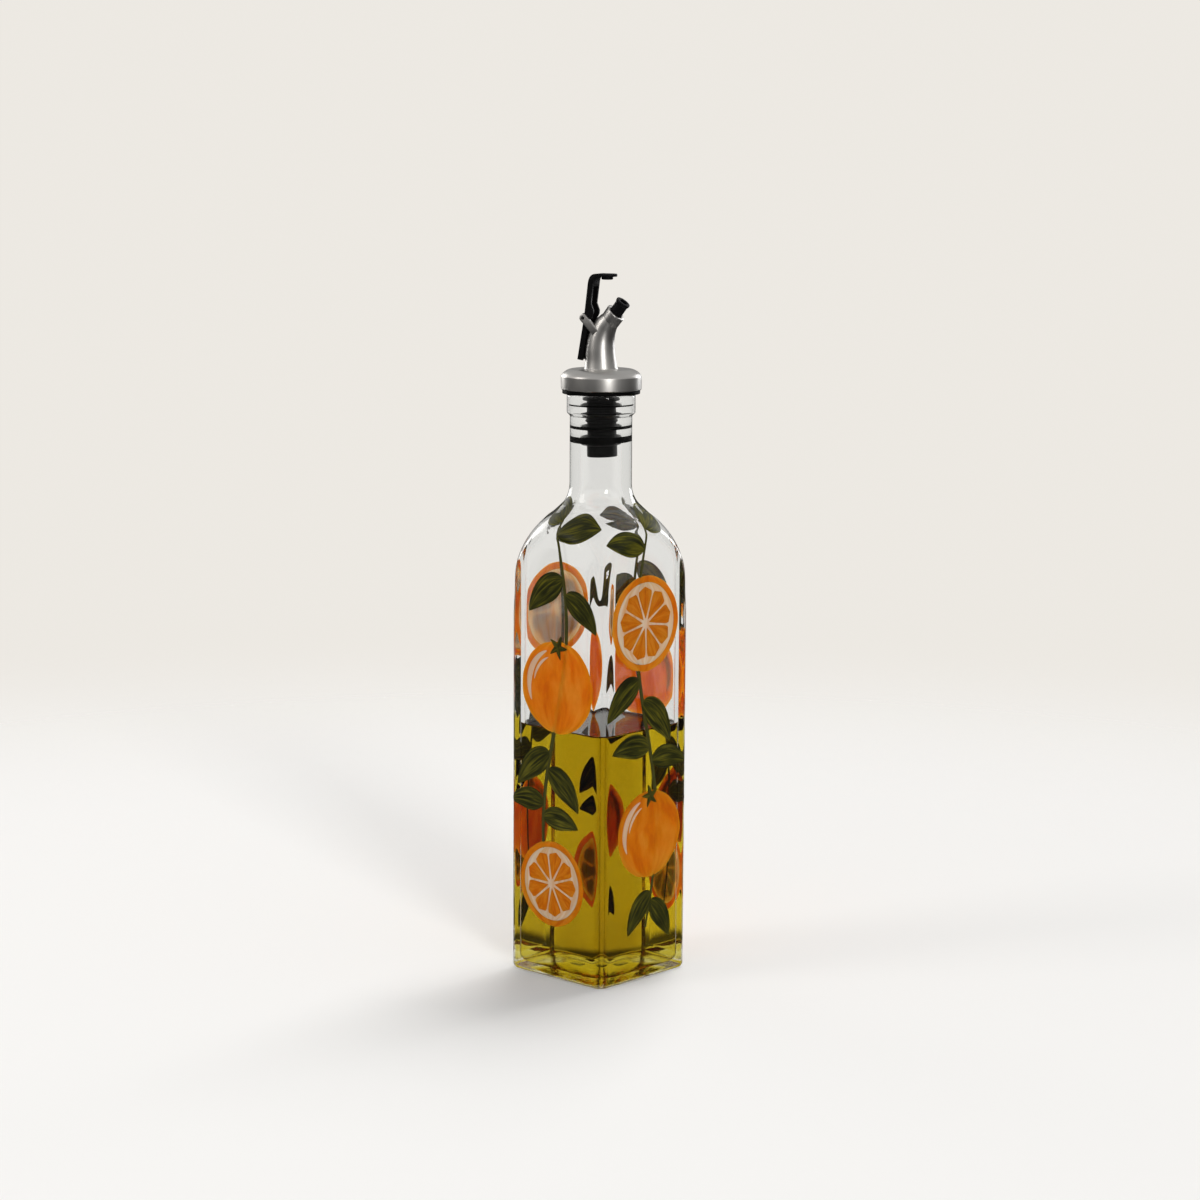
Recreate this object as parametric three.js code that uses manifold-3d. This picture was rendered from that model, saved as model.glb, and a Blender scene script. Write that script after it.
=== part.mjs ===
// Square glass oil bottle, part filled, with a rubber stopper and a metal pourer that has a flip lever.
// Millimetres, +Z up. The origin is the centre of the base, on the surface that the bottle stands on.
import * as THREE from 'three';
import { mergeVertices } from 'three/addons/utils/BufferGeometryUtils.js';
import Module from 'manifold-3d';

const wasm = await Module();
wasm.setup();

// Free space between pieces that touch
const GAP = 0.3;

// Glass bottle, outside
const HALF_SIDE = 29;
const CORNER_RADIUS = 5.4;
const BASE_ROUNDING = 2.5;
const NECK_RADIUS = 13.9;
const BEAD_RADIUS = 15.3;
const BEAD_BOTTOM = 254.3;
const MOUTH_Z = 263.2;
const SHOULDER = { centreR: -0.8, centreZ: 177.1, radius: 39.6, neck: NECK_RADIUS, fillet: 16 };
const SHOULDER_BLEND = 2;

// Glass bottle, underside
const REST_RING_HALF = 22;
const PUSH_UP = 3.4;

// Glass bottle, inside
const WALL = 3.2;
const CAVITY_CORNER_RADIUS = 7;
const FLOOR_Z = 3.8;
const FLOOR_RISE = 3;
const FLOOR_ROUNDING = 3;
const BORE_RADIUS = 9.3;
const CAVITY_HALF = HALF_SIDE - WALL;
const CAVITY_SHOULDER = {
  centreR: SHOULDER.centreR,
  centreZ: SHOULDER.centreZ,
  radius: SHOULDER.radius - WALL,
  neck: BORE_RADIUS,
  fillet: 19,
};

// Oil
const OIL_LEVEL = 113.3;

// Rubber stopper
const STUB_RADIUS = 6.75;
const STUB_BOTTOM = 235.3;
const CORE_RADIUS = 6.5;
const CORE_TOP_RADIUS = 8.4;
const FIN_RADIUS = BORE_RADIUS - GAP;
const RIB_RADIUS = 7.3;
const FLANGE_RADIUS = 17.35;
const FLANGE_BOTTOM = MOUTH_Z + GAP;
const FLANGE_TOP = FLANGE_BOTTOM + 1.2;

// Pour channel, through the stopper, the casting and the tip
const CHANNEL_RADIUS = 1.8;

// Pourer casting: collar and stem
const COLLAR_RADIUS = 18;
const COLLAR_BOTTOM = FLANGE_TOP + GAP;
const COLLAR_SHOULDER_Z = 270.7;
const COLLAR_TOP = 274.1;
const COLLAR_TOP_RADIUS = 13.4;
const STEM_RADIUS = 4.5;
const STEM_BOTTOM = 250.5;

// Pourer casting: spout. The pourer's own x axis points the way it pours, y lies across.
const POUR_ANGLE = THREE.MathUtils.degToRad(17);
const TIP_TILT = THREE.MathUtils.degToRad(37.5);
const SLEEVE_RADIUS = 4.57;
const SLEEVE_LENGTH = 9;
const SLEEVE_END = { past: 0.7, tilt: 46 };
const RIM = { x: 6.7, z: 298.85 };
const SOCKET_RADIUS = 3.25;
const SOCKET_DEPTH = 5;
const SPOUT_SECTIONS = [
  { x: -0.1, z: 273.2, tilt: 0, radius: 7.6 },
  { x: -0.3, z: 277.5, tilt: 0, radius: 6.95 },
  { x: -0.5, z: 282.5, tilt: 2, radius: 6.5 },
  { x: -0.1, z: 287.3, tilt: 8, radius: 5.95 },
  { x: 1.1, z: 291.3, tilt: 20, radius: 5.4 },
  { x: 2.7, z: 294.3, tilt: 31, radius: 4.9 },
  { x: 4.4, z: 296.3, tilt: 37.5, radius: 4.3 },
];

// Spout tip
const TIP_LENGTH = 6.7;
const TIP_RADIUS = SOCKET_RADIUS - GAP;
const TIP_LIP_RADIUS = 3.35;

// Lever pivot and ears
const PIVOT = { x: -6.7, z: 296.8 };
const PIN_RADIUS = 0.85;
const PIN_HOLE_RADIUS = PIN_RADIUS + GAP;
const EAR_INNER_Y = 3.85;
const EAR_THICKNESS = 1.6;
const EAR_HALF_WIDTH = 1.6;
const EAR_ROOT = { x: -0.5, z: 290.4 };

// Lever
const LEVER_HALF_WIDTH = 3.5;
const LEVER_DEPTH = 2.5;
const LEVER_TAIL = { x: -9, z: 278 };
const LEVER_KINK = { x: -5.8, z: 296.8 };
const LEVER_BEND = { x: -3.95, z: 312.2 };
const LEVER_BEND_RADIUS = 3.4;
const LEVER_HUB_RADIUS = 2.1;
const LEVER_TOP = 316.3;
const LEVER_TONGUE_THICKNESS = 1.3;
const LEVER_GROOVE_HALF = 2.4;
const LEVER_GROOVE_DEPTH = 1.3;
const CHEEK_LOW = [-2.7, 298.4];
const CHEEK_HIGH = [-2.5, 300];
const CAP_RADIUS = 3.8;
const CAP_X = 3.4;
const PAD_RADIUS = 2.6;
const PAD_CLEARANCE = 0.4;

const FACE_STEP = 12;
const CORNER_STEP = 3;
const ROUND_SEGMENTS = 32;

// Angles of one ring of the bottle, closer together at the four corners
function ringAngles() {
  const angles = [];
  for (let quarter = 0; quarter < 4; quarter += 1) {
    for (let step = -3; step < 3; step += 1) angles.push(quarter * 90 + step * FACE_STEP);
    for (let step = -3; step < 3; step += 1) angles.push(quarter * 90 + 45 + step * CORNER_STEP);
  }
  return angles.map(THREE.MathUtils.degToRad);
}

const ANGLES = ringAngles();

// Distance from the axis to a square with rounded corners, in the direction of an angle
function squareRadius(angle, half, corner) {
  const across = Math.abs(Math.cos(angle));
  const along = Math.abs(Math.sin(angle));
  const major = Math.max(across, along);
  const minor = Math.min(across, along);
  const flat = half - corner;
  if (half * minor <= flat * major) return half / major;
  const reach = flat * (major + minor);
  return reach + Math.sqrt(reach * reach - 2 * flat * flat + corner * corner);
}

function smoothMin(a, b, blend) {
  const overlap = Math.max(blend - Math.abs(a - b), 0) / blend;
  return Math.min(a, b) - overlap * overlap * blend / 4;
}

// Height where the shoulder's dome meets the fillet, and the fillet's centre
function filletOf(shoulder) {
  const centreR = shoulder.neck + shoulder.fillet;
  const reach = shoulder.radius + shoulder.fillet;
  const rise = Math.sqrt(reach * reach - (centreR - shoulder.centreR) ** 2);
  return {
    centreR,
    centreZ: shoulder.centreZ + rise,
    startZ: shoulder.centreZ + rise * shoulder.radius / reach,
  };
}

// Radius of the round dome that cuts the square body off at the shoulder
function domeRadius(z, shoulder) {
  const { centreR, centreZ, radius, neck, fillet } = shoulder;
  const join = filletOf(shoulder);
  if (z < centreZ) return centreR + radius + (centreZ - z) ** 2 / (2 * radius);
  if (z < join.startZ) return centreR + Math.sqrt(radius * radius - (z - centreZ) ** 2);
  if (z < join.centreZ) return join.centreR - Math.sqrt(fillet * fillet - (join.centreZ - z) ** 2);
  return neck;
}

// Heights along the dome and its fillet, from the straight sides up to the neck
function shoulderHeights(shoulder, domeSteps, filletSteps) {
  const join = filletOf(shoulder);
  const last = Math.asin((join.startZ - shoulder.centreZ) / shoulder.radius);
  const heights = [shoulder.centreZ - 10];
  for (let step = 0; step < domeSteps; step += 1) {
    heights.push(shoulder.centreZ + shoulder.radius * Math.sin(last * step / domeSteps));
  }
  for (let step = 0; step <= filletSteps; step += 1) {
    const angle = last + (Math.PI / 2 - last) * step / filletSteps;
    heights.push(join.centreZ - shoulder.fillet * Math.cos(angle));
  }
  return heights;
}

// One closed skin through rings of points. A ring of one point is a pole.
function skin(rings) {
  const positions = [];
  const firsts = [];
  for (const ring of rings) {
    firsts.push(positions.length / 3);
    for (const point of ring) positions.push(point.x, point.y, point.z);
  }
  const index = [];
  for (let row = 0; row + 1 < rings.length; row += 1) {
    const low = rings[row].length;
    const high = rings[row + 1].length;
    const count = Math.max(low, high);
    for (let column = 0; column < count; column += 1) {
      const next = (column + 1) % count;
      const a = firsts[row] + (low > 1 ? column : 0);
      const b = firsts[row] + (low > 1 ? next : 0);
      const c = firsts[row + 1] + (high > 1 ? next : 0);
      const d = firsts[row + 1] + (high > 1 ? column : 0);
      if (low > 1) index.push(a, b, c);
      if (high > 1) index.push(a, c, d);
    }
  }
  const geometry = new THREE.BufferGeometry();
  geometry.setAttribute('position', new THREE.Float32BufferAttribute(positions, 3));
  geometry.setIndex(index);
  return geometry;
}

// Ring of the bottle at one height: a rounded square, cut off by a round limit
function bottleRing({ z, half, corner, limit = Infinity }) {
  return ANGLES.map((angle) => {
    const radius = smoothMin(squareRadius(angle, half, corner), limit, SHOULDER_BLEND);
    return new THREE.Vector3(radius * Math.cos(angle), radius * Math.sin(angle), z);
  });
}

function pole(z) {
  return [new THREE.Vector3(0, 0, z)];
}

// Rings of the cavity from the middle of its floor to the top of the floor's rounding, drawn in by a gap
function cavityFloorRings(gap) {
  const steps = 4;
  const rounding = FLOOR_ROUNDING - gap;
  const half = CAVITY_HALF - gap;
  const corner = CAVITY_CORNER_RADIUS - gap;
  const rings = [pole(FLOOR_Z + FLOOR_RISE + gap)];
  rings.push(bottleRing({ z: FLOOR_Z + 0.6 * FLOOR_RISE + gap, half: 0.4 * half, corner }));
  for (let step = 0; step <= steps; step += 1) {
    const angle = Math.PI / 2 * step / steps;
    rings.push(bottleRing({
      z: FLOOR_Z + gap + rounding * (1 - Math.cos(angle)),
      half: half - rounding * (1 - Math.sin(angle)),
      corner,
    }));
  }
  return rings;
}

function outsideRings() {
  const outline = { half: HALF_SIDE, corner: CORNER_RADIUS };
  const rings = [pole(PUSH_UP)];
  rings.push(bottleRing({ z: 0.64 * PUSH_UP, half: 0.6 * REST_RING_HALF, corner: CAVITY_CORNER_RADIUS }));
  rings.push(bottleRing({ z: 0, half: REST_RING_HALF, corner: CAVITY_CORNER_RADIUS }));
  const steps = 3;
  for (let step = 0; step <= steps; step += 1) {
    const angle = Math.PI / 2 * step / steps;
    const inset = BASE_ROUNDING * (1 - Math.sin(angle));
    rings.push(bottleRing({
      z: BASE_ROUNDING * (1 - Math.cos(angle)),
      half: HALF_SIDE - inset,
      corner: CORNER_RADIUS - inset,
    }));
  }
  rings.push(bottleRing({ z: SHOULDER.centreZ / 2, ...outline }));
  for (const z of shoulderHeights(SHOULDER, 9, 4)) {
    rings.push(bottleRing({ z, ...outline, limit: domeRadius(z, SHOULDER) }));
  }
  return rings;
}

// The thick ring round the mouth, and the mouth's rounded edge, down to the bore
function finishRings() {
  const profile = [
    [NECK_RADIUS, BEAD_BOTTOM - 0.8],
    [BEAD_RADIUS - 0.4, BEAD_BOTTOM],
    [BEAD_RADIUS, BEAD_BOTTOM + 0.7],
    [BEAD_RADIUS, MOUTH_Z - 1],
    [BEAD_RADIUS - 0.4, MOUTH_Z - 0.3],
    [BEAD_RADIUS - 1.1, MOUTH_Z],
    [BORE_RADIUS + 0.9, MOUTH_Z],
    [BORE_RADIUS, MOUTH_Z - 1],
  ];
  return profile.map(([limit, z]) => bottleRing({ z, half: HALF_SIDE, corner: CORNER_RADIUS, limit }));
}

function insideRings() {
  const outline = { half: CAVITY_HALF, corner: CAVITY_CORNER_RADIUS };
  const rings = cavityFloorRings(0);
  rings.push(bottleRing({ z: OIL_LEVEL, ...outline }));
  for (const z of shoulderHeights(CAVITY_SHOULDER, 7, 4)) {
    rings.push(bottleRing({ z, ...outline, limit: domeRadius(z, CAVITY_SHOULDER) }));
  }
  return rings.reverse();
}

function glassBottle() {
  return solid(skin([...outsideRings(), ...finishRings(), ...insideRings()]));
}

function oil() {
  const rings = cavityFloorRings(GAP);
  rings.push(bottleRing({ z: OIL_LEVEL, half: CAVITY_HALF - GAP, corner: CAVITY_CORNER_RADIUS - GAP }));
  rings.push(pole(OIL_LEVEL));
  return solid(skin(rings));
}

// Turns a closed geometry into a solid whose faces point out
function solid(geometry) {
  const bare = geometry.clone();
  bare.deleteAttribute('normal');
  bare.deleteAttribute('uv');
  const merged = mergeVertices(bare, 1e-4);
  const positions = merged.attributes.position.array;
  const corners = [];
  let volume = 0;
  for (let first = 0; first < merged.index.count; first += 3) {
    const [a, b, c] = [0, 1, 2].map((offset) => merged.index.getX(first + offset));
    if (a === b || b === c || c === a) continue;
    corners.push(a, b, c);
    const [p, q, r] = [a, b, c].map((i) => new THREE.Vector3().fromArray(positions, 3 * i));
    volume += p.dot(q.cross(r));
  }
  if (volume < 0) corners.reverse();
  return new wasm.Manifold(new wasm.Mesh({
    numProp: 3,
    vertProperties: Float32Array.from(positions),
    triVerts: Uint32Array.from(corners),
  }));
}

// Solid of revolution about Z from [radius, height] points
function turned(profile, segments = ROUND_SEGMENTS) {
  const points = profile.map(([radius, height]) => new THREE.Vector2(radius, height));
  return solid(new THREE.LatheGeometry(points, segments).rotateX(Math.PI / 2));
}

function fin(bottom, top, radius, lead = 0.4) {
  return [
    [CORE_RADIUS, bottom - lead],
    [radius, bottom],
    [radius, top],
    [CORE_RADIUS, top + lead],
  ];
}

// Stopper that grips the bore with four fins, under a flange that covers the mouth
function stopper() {
  const outside = [
    [STUB_RADIUS - 0.5, STUB_BOTTOM],
    [STUB_RADIUS, STUB_BOTTOM + 0.5],
    [STUB_RADIUS, 240.6],
    [FIN_RADIUS - 0.6, 241.1],
    ...fin(242, 244.1, FIN_RADIUS).slice(1),
    ...fin(247.6, 249, FIN_RADIUS),
    ...fin(251, 251.5, RIB_RADIUS),
    ...fin(252.8, 253.3, RIB_RADIUS),
    ...fin(254.7, 255.3, FIN_RADIUS),
    ...fin(258, 258.6, FIN_RADIUS),
    [CORE_RADIUS, 259.9],
    [CORE_TOP_RADIUS, 260.5],
    [CORE_TOP_RADIUS, FLANGE_BOTTOM],
    [FLANGE_RADIUS - 0.4, FLANGE_BOTTOM],
    [FLANGE_RADIUS, FLANGE_BOTTOM + 0.4],
    [FLANGE_RADIUS, FLANGE_TOP - 0.3],
    [FLANGE_RADIUS - 0.3, FLANGE_TOP],
  ];
  const inside = [
    [STEM_RADIUS + GAP, FLANGE_TOP],
    [STEM_RADIUS + GAP, STEM_BOTTOM - GAP],
    [CHANNEL_RADIUS, STEM_BOTTOM - GAP],
    [CHANNEL_RADIUS, STUB_BOTTOM],
  ];
  return turned([...outside, ...inside, outside[0]]);
}

// Round section of the spout, square to its centre line
function spoutRing({ x, z, tilt, radius }, segments) {
  const angle = THREE.MathUtils.degToRad(tilt);
  return Array.from({ length: segments }, (_, step) => {
    const turn = 2 * Math.PI * step / segments;
    const out = radius * Math.cos(turn);
    return new THREE.Vector3(x + out * Math.cos(angle), radius * Math.sin(turn), z - out * Math.sin(angle));
  });
}

function loft(sections, segments = ROUND_SEGMENTS) {
  const first = sections[0];
  const last = sections[sections.length - 1];
  return solid(skin([
    [new THREE.Vector3(first.x, 0, first.z)],
    ...sections.map((section) => spoutRing(section, segments)),
    [new THREE.Vector3(last.x, 0, last.z)],
  ]));
}

// Point on the tip's axis, a distance past the rim of the sleeve
function alongTip(distance) {
  return { x: RIM.x + distance * Math.sin(TIP_TILT), z: RIM.z + distance * Math.cos(TIP_TILT) };
}

function sleeveSection(distance, radius, tilt = THREE.MathUtils.radToDeg(TIP_TILT)) {
  return { ...alongTip(distance), tilt, radius };
}

// Flat plate in the pourer's xz plane, from one y to another
function plate(shape, fromY, toY, curveSegments = 12) {
  const geometry = new THREE.ExtrudeGeometry(shape, { depth: toY - fromY, bevelEnabled: false, curveSegments });
  return solid(geometry.rotateX(Math.PI / 2).translate(0, toY, 0));
}

function crossPin(radius, halfLength, at, segments = 20) {
  const geometry = new THREE.CylinderGeometry(radius, radius, 2 * halfLength, segments);
  return solid(geometry.translate(at.x, 0, at.z));
}

// Bar with a round end at the pivot, running down into the spout's flank
function earShape() {
  const slope = Math.atan2(PIVOT.z - EAR_ROOT.z, PIVOT.x - EAR_ROOT.x);
  const shape = new THREE.Shape();
  shape.absarc(PIVOT.x, PIVOT.z, EAR_HALF_WIDTH, slope - Math.PI / 2, slope + Math.PI / 2);
  shape.absarc(EAR_ROOT.x, EAR_ROOT.z, EAR_HALF_WIDTH, slope + Math.PI / 2, slope + 3 * Math.PI / 2);
  return shape;
}

function collar() {
  const steps = 4;
  const profile = [
    [0, STEM_BOTTOM],
    [STEM_RADIUS, STEM_BOTTOM],
    [STEM_RADIUS, COLLAR_BOTTOM],
    [COLLAR_RADIUS - 0.4, COLLAR_BOTTOM],
    [COLLAR_RADIUS, COLLAR_BOTTOM + 0.4],
  ];
  for (let step = 0; step <= steps; step += 1) {
    const angle = Math.PI / 2 * step / steps;
    profile.push([
      COLLAR_TOP_RADIUS + (COLLAR_RADIUS - COLLAR_TOP_RADIUS) * Math.cos(angle),
      COLLAR_SHOULDER_Z + (COLLAR_TOP - COLLAR_SHOULDER_Z) * Math.sin(angle),
    ]);
  }
  profile.push([0, COLLAR_TOP]);
  return turned(profile, 48);
}

// One casting: collar, stem, spout with its straight sleeve, and the two ears that carry the lever
function pourerCasting() {
  let casting = collar();
  casting = casting.add(loft(SPOUT_SECTIONS));
  casting = casting.add(loft([
    sleeveSection(-SLEEVE_LENGTH, SLEEVE_RADIUS - 0.4),
    sleeveSection(SLEEVE_END.past - 0.3, SLEEVE_RADIUS, SLEEVE_END.tilt),
    sleeveSection(SLEEVE_END.past, SLEEVE_RADIUS - 0.3, SLEEVE_END.tilt),
  ]));
  for (const side of [-1, 1]) {
    const inner = side * EAR_INNER_Y;
    const outer = side * (EAR_INNER_Y + EAR_THICKNESS);
    casting = casting.add(plate(earShape(), Math.min(inner, outer), Math.max(inner, outer)));
  }
  const channel = [
    { x: 0, z: STEM_BOTTOM - 1, tilt: 0, radius: CHANNEL_RADIUS },
    ...SPOUT_SECTIONS.map((section) => ({ ...section, radius: CHANNEL_RADIUS })),
    sleeveSection(0, CHANNEL_RADIUS),
  ];
  const socket = [sleeveSection(-SOCKET_DEPTH, SOCKET_RADIUS), sleeveSection(3, SOCKET_RADIUS)];
  return casting
    .subtract(loft(channel, 16))
    .subtract(loft(socket, 24))
    .subtract(crossPin(PIN_HOLE_RADIUS, EAR_INNER_Y + EAR_THICKNESS + 1, PIVOT));
}

// Tube that stands out of the sleeve, flared at its lip. Its own z axis runs along the tube.
function spoutTip() {
  const stem = -(SOCKET_DEPTH - GAP);
  return turned([
    [CHANNEL_RADIUS, stem],
    [TIP_RADIUS, stem],
    [TIP_RADIUS, TIP_LENGTH - 1.6],
    [TIP_LIP_RADIUS, TIP_LENGTH - 0.9],
    [TIP_LIP_RADIUS, TIP_LENGTH - 0.3],
    [TIP_LIP_RADIUS - 0.3, TIP_LENGTH],
    [CHANNEL_RADIUS + 0.2, TIP_LENGTH],
    [CHANNEL_RADIUS, TIP_LENGTH - 0.3],
    [CHANNEL_RADIUS, stem],
  ], 24);
}

// Where the middle of the cap's pad is with the lever open: shut, it covers the tip's lip with a small clearance
function padCentre() {
  const seat = alongTip(TIP_LENGTH + PAD_CLEARANCE);
  const reach = new THREE.Vector2(seat.x - PIVOT.x, seat.z - PIVOT.z);
  reach.rotateAround(new THREE.Vector2(0, 0), TIP_TILT);
  return { x: PIVOT.x + reach.x, z: PIVOT.z + reach.y };
}

// Unit vector along one run of the arm, and the one that points from the arm towards the spout
function runOf(from, to) {
  const along = new THREE.Vector2(to.x - from.x, to.z - from.z).normalize();
  return { along, front: new THREE.Vector2(along.y, -along.x) };
}

function offset(point, run, distance) {
  return [point.x + run.front.x * distance, point.z + run.front.y * distance];
}

// Side view of the lever: tail, arm, round bend and the tongue that carries the cap
function leverShape() {
  const half = LEVER_DEPTH / 2;
  const tail = runOf(LEVER_TAIL, LEVER_KINK);
  const arm = runOf(LEVER_KINK, LEVER_BEND);
  const [backX, backZ] = offset(LEVER_BEND, arm, -half);
  const [frontX, frontZ] = offset(LEVER_BEND, arm, half);
  const underside = LEVER_TOP - LEVER_TONGUE_THICKNESS;
  const shape = new THREE.Shape();
  shape.moveTo(...offset(LEVER_TAIL, tail, half));
  shape.lineTo(...offset(LEVER_KINK, arm, half));
  shape.lineTo(frontX, frontZ);
  shape.quadraticCurveTo(frontX + 0.3, underside, frontX + 1.6, underside);
  shape.lineTo(CAP_X, underside);
  shape.lineTo(CAP_X, LEVER_TOP);
  shape.lineTo(backX + LEVER_BEND_RADIUS + 0.6, LEVER_TOP);
  shape.quadraticCurveTo(backX + 0.6, LEVER_TOP, backX, backZ);
  shape.lineTo(...offset(LEVER_KINK, arm, -half));
  shape.lineTo(...offset(LEVER_TAIL, tail, -half));
  return shape;
}

// Groove along the side of the arm that faces the spout, so that the arm can lie round the spout's back
function grooveShape() {
  const half = LEVER_DEPTH / 2;
  const tail = runOf(LEVER_TAIL, LEVER_KINK);
  const arm = runOf(LEVER_KINK, LEVER_BEND);
  const start = { x: LEVER_TAIL.x - tail.along.x * 2, z: LEVER_TAIL.z - tail.along.y * 2 };
  const end = { x: LEVER_BEND.x - arm.along.x * 1.5, z: LEVER_BEND.z - arm.along.y * 1.5 };
  const shape = new THREE.Shape();
  shape.moveTo(...offset(start, tail, half - LEVER_GROOVE_DEPTH));
  shape.lineTo(...offset(LEVER_KINK, tail, half - LEVER_GROOVE_DEPTH));
  shape.lineTo(...offset(end, arm, half - LEVER_GROOVE_DEPTH));
  shape.lineTo(...offset(end, arm, half + 3));
  shape.lineTo(...offset(LEVER_KINK, arm, half + 3));
  shape.lineTo(...offset(start, tail, half + 3));
  return shape;
}

// Cheek that stiffens the arm in front of the pivot
function cheekShape() {
  const arm = runOf(LEVER_KINK, LEVER_BEND);
  const foot = { x: LEVER_KINK.x, z: LEVER_KINK.z - 2 };
  const head = { x: LEVER_KINK.x + arm.along.x * 7, z: LEVER_KINK.z + arm.along.y * 7 };
  const shape = new THREE.Shape();
  shape.moveTo(...offset(head, arm, 1));
  shape.lineTo(...offset(LEVER_KINK, arm, 0));
  shape.lineTo(...offset(foot, arm, 1));
  shape.lineTo(...CHEEK_LOW);
  shape.lineTo(...CHEEK_HIGH);
  return shape;
}

function lever() {
  const pad = padCentre();
  let body = plate(leverShape(), -LEVER_HALF_WIDTH, LEVER_HALF_WIDTH);
  body = body.add(plate(cheekShape(), -LEVER_HALF_WIDTH, LEVER_HALF_WIDTH));
  body = body.subtract(plate(grooveShape(), -LEVER_GROOVE_HALF, LEVER_GROOVE_HALF));
  body = body.add(crossPin(LEVER_HUB_RADIUS, LEVER_HALF_WIDTH, PIVOT, 24));
  const cap = turned([
    [0, LEVER_TOP - LEVER_TONGUE_THICKNESS],
    [CAP_RADIUS, LEVER_TOP - LEVER_TONGUE_THICKNESS],
    [CAP_RADIUS, LEVER_TOP - 0.3],
    [CAP_RADIUS - 0.3, LEVER_TOP],
    [0, LEVER_TOP],
  ], 28).translate([CAP_X, 0, 0]);
  const seal = turned([
    [0, pad.z],
    [PAD_RADIUS - 0.4, pad.z],
    [PAD_RADIUS, pad.z + 0.5],
    [PAD_RADIUS, LEVER_TOP - 0.5],
    [0, LEVER_TOP - 0.5],
  ], 24).translate([pad.x, 0, 0]);
  return body.add(cap).add(seal).subtract(crossPin(PIN_HOLE_RADIUS, LEVER_HALF_WIDTH + 1, PIVOT));
}

function hingePin() {
  return crossPin(PIN_RADIUS, EAR_INNER_Y + EAR_THICKNESS - 0.1, PIVOT, 16);
}

function meshOf(name, body, look) {
  const { vertProperties, triVerts } = body.getMesh();
  const geometry = new THREE.BufferGeometry();
  geometry.setAttribute('position', new THREE.Float32BufferAttribute(vertProperties, 3));
  geometry.setIndex([...triVerts]);
  geometry.computeVertexNormals();
  const mesh = new THREE.Mesh(geometry, new THREE.MeshStandardMaterial(look));
  mesh.name = name;
  return mesh;
}

const GLASS = { color: 0xe9efea, roughness: 0.03, metalness: 0, transparent: true, opacity: 0.35 };
const OIL = { color: 0x9a8a06, roughness: 0.1, metalness: 0 };
const RUBBER = { color: 0x14130f, roughness: 0.6, metalness: 0 };
const SATIN_METAL = { color: 0xb9b6ae, roughness: 0.35, metalness: 1 };
const BLACK_PLASTIC = { color: 0x161616, roughness: 0.45, metalness: 0 };
const STEEL = { color: 0x8d8c88, roughness: 0.3, metalness: 1 };

const pourer = new THREE.Group();
pourer.rotation.z = POUR_ANGLE;
const tip = meshOf('spout_tip', spoutTip(), BLACK_PLASTIC);
tip.position.set(RIM.x, 0, RIM.z);
tip.rotation.y = TIP_TILT;
pourer.add(
  meshOf('pourer_casting', pourerCasting(), SATIN_METAL),
  tip,
  meshOf('lever', lever(), BLACK_PLASTIC),
  meshOf('hinge_pin', hingePin(), STEEL),
);

const dispenser = new THREE.Group();
dispenser.add(
  meshOf('glass_bottle', glassBottle(), GLASS),
  meshOf('oil', oil(), OIL),
  meshOf('stopper', stopper(), RUBBER),
  pourer,
);

export default dispenser;
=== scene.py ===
"""Looks of a square glass oil dispenser with a stopper, a metal pourer and a flip lever.

Sizes below are in millimetres, as in the part's source, and become metres in mesh().
"""
from math import asin, atan2, cos, exp, hypot, pi, radians, sin, sqrt, tan
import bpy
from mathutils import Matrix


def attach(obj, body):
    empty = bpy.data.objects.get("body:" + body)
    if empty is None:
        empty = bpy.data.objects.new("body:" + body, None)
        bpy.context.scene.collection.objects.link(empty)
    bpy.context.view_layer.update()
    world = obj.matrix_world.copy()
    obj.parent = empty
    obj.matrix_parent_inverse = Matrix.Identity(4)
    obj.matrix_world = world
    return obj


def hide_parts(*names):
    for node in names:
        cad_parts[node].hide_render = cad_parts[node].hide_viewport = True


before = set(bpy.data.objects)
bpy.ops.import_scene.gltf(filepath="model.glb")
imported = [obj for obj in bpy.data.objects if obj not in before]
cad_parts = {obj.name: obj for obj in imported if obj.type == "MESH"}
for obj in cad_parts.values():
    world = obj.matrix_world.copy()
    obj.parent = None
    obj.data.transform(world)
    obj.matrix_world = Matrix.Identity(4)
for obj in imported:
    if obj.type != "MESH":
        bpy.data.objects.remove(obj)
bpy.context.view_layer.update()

from types import SimpleNamespace

import bmesh
import bpy
import numpy as np
from mathutils import Matrix, Vector

MM = 0.001

# Camera
CAMERA_DISTANCE = 1326.3
CAMERA_HEIGHT = 378.7
CAMERA_AZIMUTH = radians(43.16)
CAMERA_PITCH = 0.156
CAMERA_ROLL = 0.0058
# The focal length in pixels of the square photograph, and then in millimetres on the sensor
FOCAL_PIXELS = 2984.2
PHOTO_PIXELS = 1200
SENSOR_WIDTH = 36
FOCAL_LENGTH = FOCAL_PIXELS / PHOTO_PIXELS * SENSOR_WIDTH
# The left-right direction of the picture, and the way from the bottle to the camera's side of the room
ACROSS = (cos(CAMERA_AZIMUTH), sin(CAMERA_AZIMUTH))
FRONT = (sin(CAMERA_AZIMUTH), -cos(CAMERA_AZIMUTH), 0)

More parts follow.
